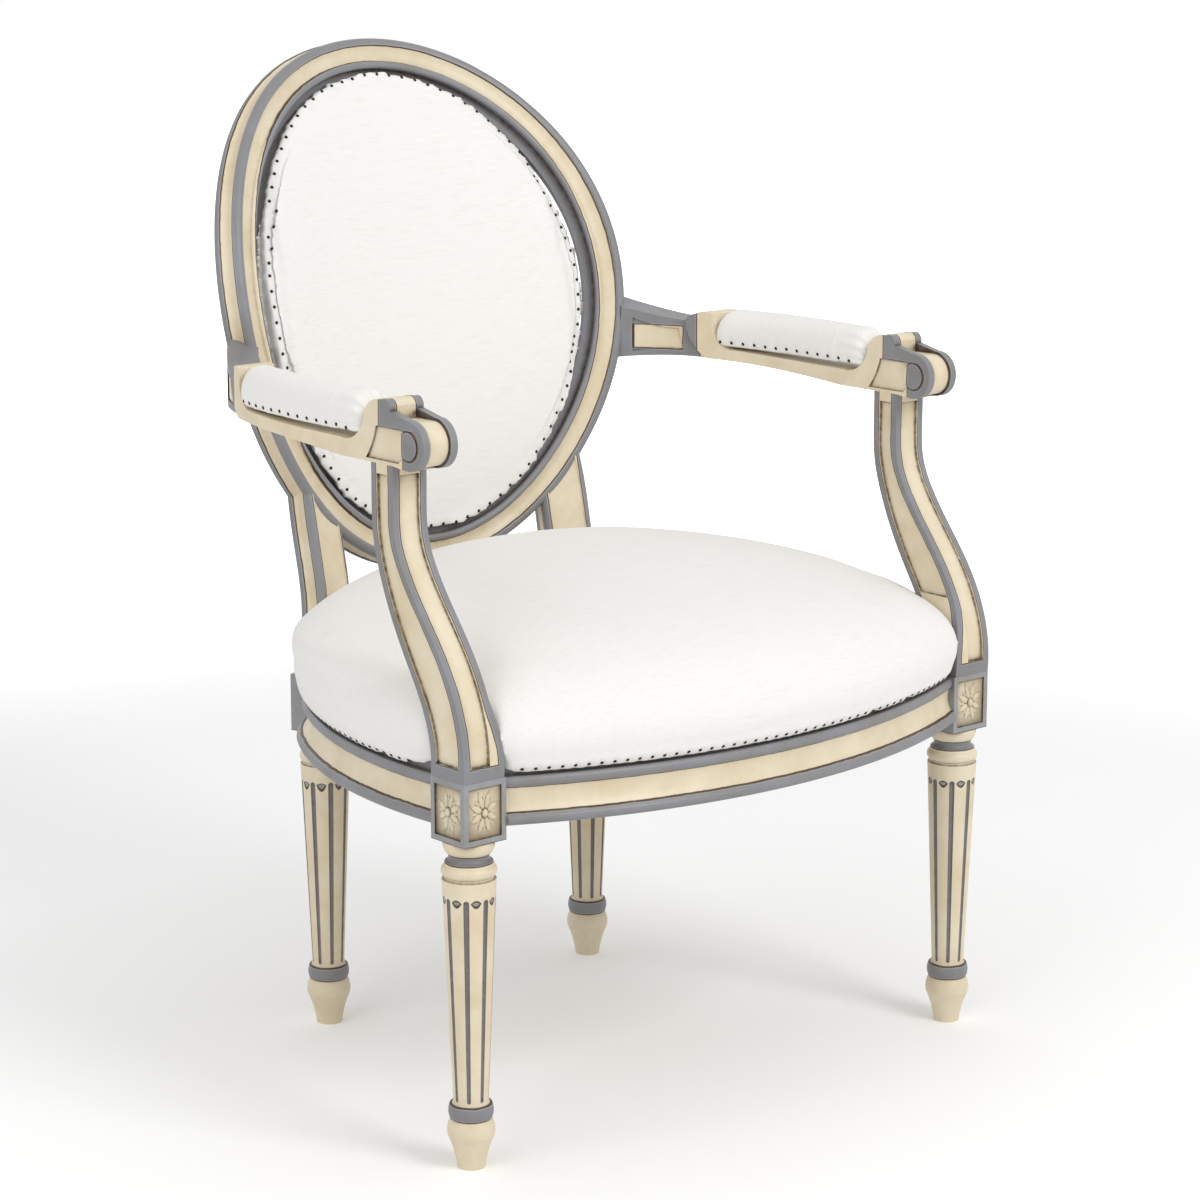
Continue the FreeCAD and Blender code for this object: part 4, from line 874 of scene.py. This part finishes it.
def padForm(side):
    build = bmesh.new()
    rings = []
    steps = 60
    for step in range(steps + 1):
        share = 0.5 - 0.5 * math.cos(math.pi * step / steps)
        y = armPad["front"] + (armPad["rear"] - armPad["front"]) * share
        end = min(1.0, min(y - armPad["front"], armPad["rear"] - y) / armPad["endRound"])
        full = math.sqrt(max(0.0, 1 - (1 - end) ** 2))
        wide = armPad["halfWidth"] * (0.70 + 0.30 * full)
        high = armPad["waist"] + (armPad["high"] - armPad["waist"]) * (0.25 + 0.75 * full)
        middle = padMiddle(y)
        ring = [(-wide * 0.97, armPad["low"])]
        for index in range(25):
            turn = math.pi * index / 24
            across, up = -math.cos(turn), math.sin(turn)
            reach = (abs(across) ** armPad["power"] + abs(up) ** armPad["power"]) ** (-1 / armPad["power"])
            ring.append((wide * across * reach, armPad["waist"] + (high - armPad["waist"]) * up * reach))
        ring.append((wide * 0.97, armPad["low"]))
        rings.append([build.verts.new(Vector((side * (middle + x), y, z)) * mm) for x, z in ring])
    count = len(rings[0])
    for first, second in zip(rings, rings[1:]):
        for index in range(count):
            after = (index + 1) % count
            build.faces.new((first[index], first[after], second[after], second[index]))
    build.faces.new(rings[0])
    build.faces.new(rings[-1])
    bmesh.ops.recalc_face_normals(build, faces=build.faces)
    mesh = bpy.data.meshes.new("padForm")
    build.to_mesh(mesh)
    build.free()
    return mesh


def addArmPad(side, cloth, heads, metal):
    end = "left" if side < 0 else "right"
    mesh = remeshed(padForm(side), armPad["voxel"])
    smoothed(mesh, 2)
    held = [corner.index for corner in mesh.vertices if corner.co.z < 0.6545]
    mesh = puff(mesh, held, armPad["pressure"], armPad["cap"] * mm, None)
    smoothed(mesh, 1)
    mesh = refine(mesh)
    # pleats radiate from the lower front edge and fade out 40 mm back
    for corner in mesh.vertices:
        behind = corner.co.y / mm - armPad["front"]
        if behind < armPad["gatherLength"]:
            turn = math.atan2(corner.co.z / mm - 652, corner.co.x / mm - side * armPad["middle"])
            fade = (1 - max(0.0, behind) / armPad["gatherLength"]) ** 1.3
            ridge = math.cos(turn * armPad["gathers"] * 2 + 0.6) * fade
            corner.co += Vector(corner.normal) * (ridge - 0.4) * armPad["gatherDepth"] * mm
    tacks = []
    for away in (-1, 1):
        first, last = armPad["tackRow"]
        rows = [first + (last - first) * index / 60 for index in range(61)]
        line = [Vector((side * padMiddle(y) + away * 30, y, armPad["tackHeight"])) * mm for y in rows]
        tacks += spaced(nearestOn(mesh, line), armPad["tackSpacing"] * mm)
    pullDown(mesh, tacks, 0.0012, 0.0045)
    piece = addPiece("armPadCloth" + end.capitalize(), mesh, cloth)
    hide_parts("arm_pad_cover_" + end, "arm_pad_stuffing_" + end)
    setTacks("armPadTacks" + end.capitalize(), heads, tacks, piece, metal)
    print("arm pad ready:", end, len(tacks), "tacks")


# Underside: jute webbing and hessian, woven coarse and brown
jute = {"webbing": "#A98F63", "hessian": "#B79B6C", "gap": "#5E4A2E", "webThread": 2.2, "hessianThread": 1.8,
        "webWidth": 52.0, "hessianWidth": 508.0}


def juteCloth(name, colour, thread):
    material, tree, shader = newMaterial(name)
    spot = addNode(tree, "TexCoord", out=3)
    place = addNode(tree, "VectorMath", spot, (1000, 1000, 1000), operation="MULTIPLY")
    threads = weave(tree, place, thread, "XY", 1.5)
    shade = addNode(tree, "MapRange", threads, 0.0, 0.6, 0.55, 1.0)
    colours = mixed(tree, shade, linear(jute["gap"]), linear(colour))
    tree.links.new(colours, shader.inputs["Base Color"])
    shader.inputs["Roughness"].default_value = 0.9
    bump = addNode(tree, "Bump", named={"Strength": 0.6, "Distance": 0.0008, "Height": threads})
    tree.links.new(bump, shader.inputs["Normal"])
    return material


def addUnderside():
    for node, name, slotName, colour, thread, width in (
            ("seat_webbing", "juteWebbing", "webbing", jute["webbing"], jute["webThread"], jute["webWidth"]),
            ("seat_hessian", "juteHessian", "hessian", jute["hessian"], jute["hessianThread"], jute["hessianWidth"])):
        mesh = nodeCopy(node)
        material = juteCloth(name, colour, thread)
        piece = addPiece(name + "Sheet", mesh, material)
        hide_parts(node)
    print("webbing and hessian ready")


# Carved rosettes in the sunk panels of the front dice
rosette = {
    "petals": 8, "radius": 17.2, "lowRadius": 15.5, "petalWidth": 6.6, "lowWidth": 4.0, "rise": 2.5, "heart": 3.3,
    "height": 332.3, "face": -21.1, "stretch": 1.24, "ground": "#5E4631", "panelWidth": 36.4, "panelHeight": 46.0,
}


def petal(build, turn, radius, width, rise, lift):
    rows = ((2.0, 0.25, 0.5), (5.0, 0.8, 0.9), (8.5, 1.0, 1.0), (11.5, 0.7, 0.75), (radius, 0.03, 0.1))
    grid = []
    for reach, wide, high in rows:
        reach = min(reach, radius)
        line = []
        for share, hump in ((-1.0, 0.0), (-0.55, 0.85), (0.0, 0.55), (0.55, 0.85), (1.0, 0.0)):
            across = share * wide * width / 2
            x = reach * math.cos(turn) - across * math.sin(turn)
            z = reach * math.sin(turn) + across * math.cos(turn)
            line.append(build.verts.new((x, lift - rise * high * hump, z)))
        grid.append(line)
    for first, second in zip(grid, grid[1:]):
        for index in range(4):
            build.faces.new((first[index], first[index + 1], second[index + 1], second[index]))
    ring = [line[0] for line in grid] + grid[-1][1:]
    ring += [line[4] for line in reversed(grid[:-1])] + list(reversed(grid[0][1:4]))
    foot = [build.verts.new((corner.co.x, lift + 0.6, corner.co.z)) for corner in ring]
    for index in range(len(ring)):
        after = (index + 1) % len(ring)
        build.faces.new((ring[index], ring[after], foot[after], foot[index]))
    build.faces.new(foot)


def addRosettes():
    material = paintedWood("paintRosette", lambda t, x, y, z: addNode(t, "SUBTRACT", -8.0, 0.0))
    ground, _, shader = newMaterial("glazedGround")
    shader.inputs["Base Color"].default_value = linear(rosette["ground"])
    shader.inputs["Roughness"].default_value = 0.6
    build = bmesh.new()
    for index in range(rosette["petals"]):
        turn = 2 * math.pi * (index + 0.5) / rosette["petals"]
        between = turn + math.pi / rosette["petals"]
        petal(build, between, rosette["lowRadius"], rosette["lowWidth"], rosette["rise"] * 0.7, 0.2)
        petal(build, turn, rosette["radius"], rosette["petalWidth"], rosette["rise"], -0.1)
    bmesh.ops.create_uvsphere(build, u_segments=16, v_segments=8, radius=rosette["heart"],
                              matrix=Matrix.Translation((0, -0.8, 0)))
    for corner in build.verts:
        corner.co.z *= rosette["stretch"]
    wide, high = rosette["panelWidth"] / 2, rosette["panelHeight"] / 2
    plate = bmesh.ops.create_cube(build, size=1.0)["verts"]
    for corner in plate:
        corner.co = (corner.co.x * 2 * wide, 0.1 + corner.co.y * 0.5, corner.co.z * 2 * high)
    for face in {face for corner in plate for face in corner.link_faces}:
        face.material_index = 1
    bmesh.ops.recalc_face_normals(build, faces=build.faces)
    flower = bpy.data.meshes.new("rosette")
    build.to_mesh(flower)
    build.free()
    for side, end in ((-1, "Left"), (1, "Right")):
        build = bmesh.new()
        for turned in (False, True):
            face = Matrix.Translation((side * legPlan["frontX"], 0, rosette["height"]))
            if turned:
                face = face @ Matrix.Rotation(side * math.pi / 2, 4, "Z")
            face = Matrix.Translation((0, frontLine * 1000, 0)) @ face @ Matrix.Translation((0, rosette["face"], 0))
            part = flower.copy()
            part.transform(Matrix.Scale(mm, 4) @ face)
            build.from_mesh(part)
        mesh = bpy.data.meshes.new("rosettes" + end)
        build.to_mesh(mesh)
        build.free()
        for polygon in mesh.polygons:
            polygon.use_smooth = True
        addPiece("rosettes" + end, mesh, material)
        mesh.materials.append(ground)
    print("rosettes ready")


# Floor, light and world: a white sweep under large soft lamps
studio = {
    "floor": "#F6F6F6", "world": 0.70, "lift": 0.12, "clearFrom": 1.2, "clearTo": 3.2, "keyWatts": 60, "keySize": 1.5,
    "fillWatts": 24, "fillSize": 2.4,
}


def addStudio():
    mesh = bpy.data.meshes.new("floor")
    mesh.from_pydata([(-12, -12, 0), (12, -12, 0), (12, 12, 0), (-12, 12, 0)], [], [(0, 1, 2, 3)])
    floor = bpy.data.objects.new("floor", mesh)
    bpy.context.scene.collection.objects.link(floor)
    material, tree, shader = newMaterial("whiteFloor")
    shader.inputs["Base Color"].default_value = linear(studio["floor"])
    shader.inputs["Roughness"].default_value = 0.9
    # far from the chair the camera sees plain white, so that no horizon shows
    place = addNode(tree, "TexCoord", out=3)
    reach = addNode(tree, "VectorMath", place, operation="LENGTH", out=1)
    far = addNode(tree, "MapRange", reach, studio["clearFrom"], studio["clearTo"], studio["lift"], 1.0,
                  interpolation_type="SMOOTHSTEP")
    seen = tree.nodes.new("ShaderNodeLightPath")
    glow = addNode(tree, "MULTIPLY", far, seen.outputs["Is Camera Ray"])
    tree.links.new(glow, shader.inputs["Emission Strength"])
    shader.inputs["Emission Color"].default_value = (1, 1, 1, 1)
    mesh.materials.append(material)
    world = bpy.data.worlds.new("studio")
    world.use_nodes = True
    tree = world.node_tree
    light = tree.nodes["Background"]
    light.inputs[0].default_value = (1, 1, 1, 1)
    seen = tree.nodes.new("ShaderNodeLightPath")
    # the camera and reflections see plain white, the object is lit at the lower level
    view = addNode(tree, "MAXIMUM", seen.outputs["Is Camera Ray"], seen.outputs["Is Glossy Ray"])
    tree.links.new(addNode(tree, "Mix", named={0: view, 2: studio["world"], 3: 1.0}), light.inputs[1])
    bpy.context.scene.world = world
    for name, place, aim, watts, size in (
            ("keyLamp", (0.5, -3.3, 2.9), (0, 0, 0.4), studio["keyWatts"], studio["keySize"]),
            ("fillLamp", (-3.0, -0.6, 2.4), (0, 0, 0.5), studio["fillWatts"], studio["fillSize"])):
        data = bpy.data.lights.new(name, "AREA")
        data.energy = watts
        data.size = size
        lamp = bpy.data.objects.new(name, data)
        lamp.location = place
        lamp.rotation_euler = (Vector(aim) - Vector(place)).to_track_quat("-Z", "Y").to_euler()
        bpy.context.scene.collection.objects.link(lamp)


addCamera()
addStudio()
print("camera and studio ready")
paintWood()
print("wood painted")

cloth = muslinCloth()
heads = tackTree()
blued = tackMetal()
addSeat(cloth, heads, blued)
addBack(cloth, heads, blued)
for side in (-1, 1):
    addArmPad(side, cloth, heads, blued)
addUnderside()
addRosettes()

bpy.context.view_layer.update()
bpy.context.scene.view_settings.view_transform = "Standard"
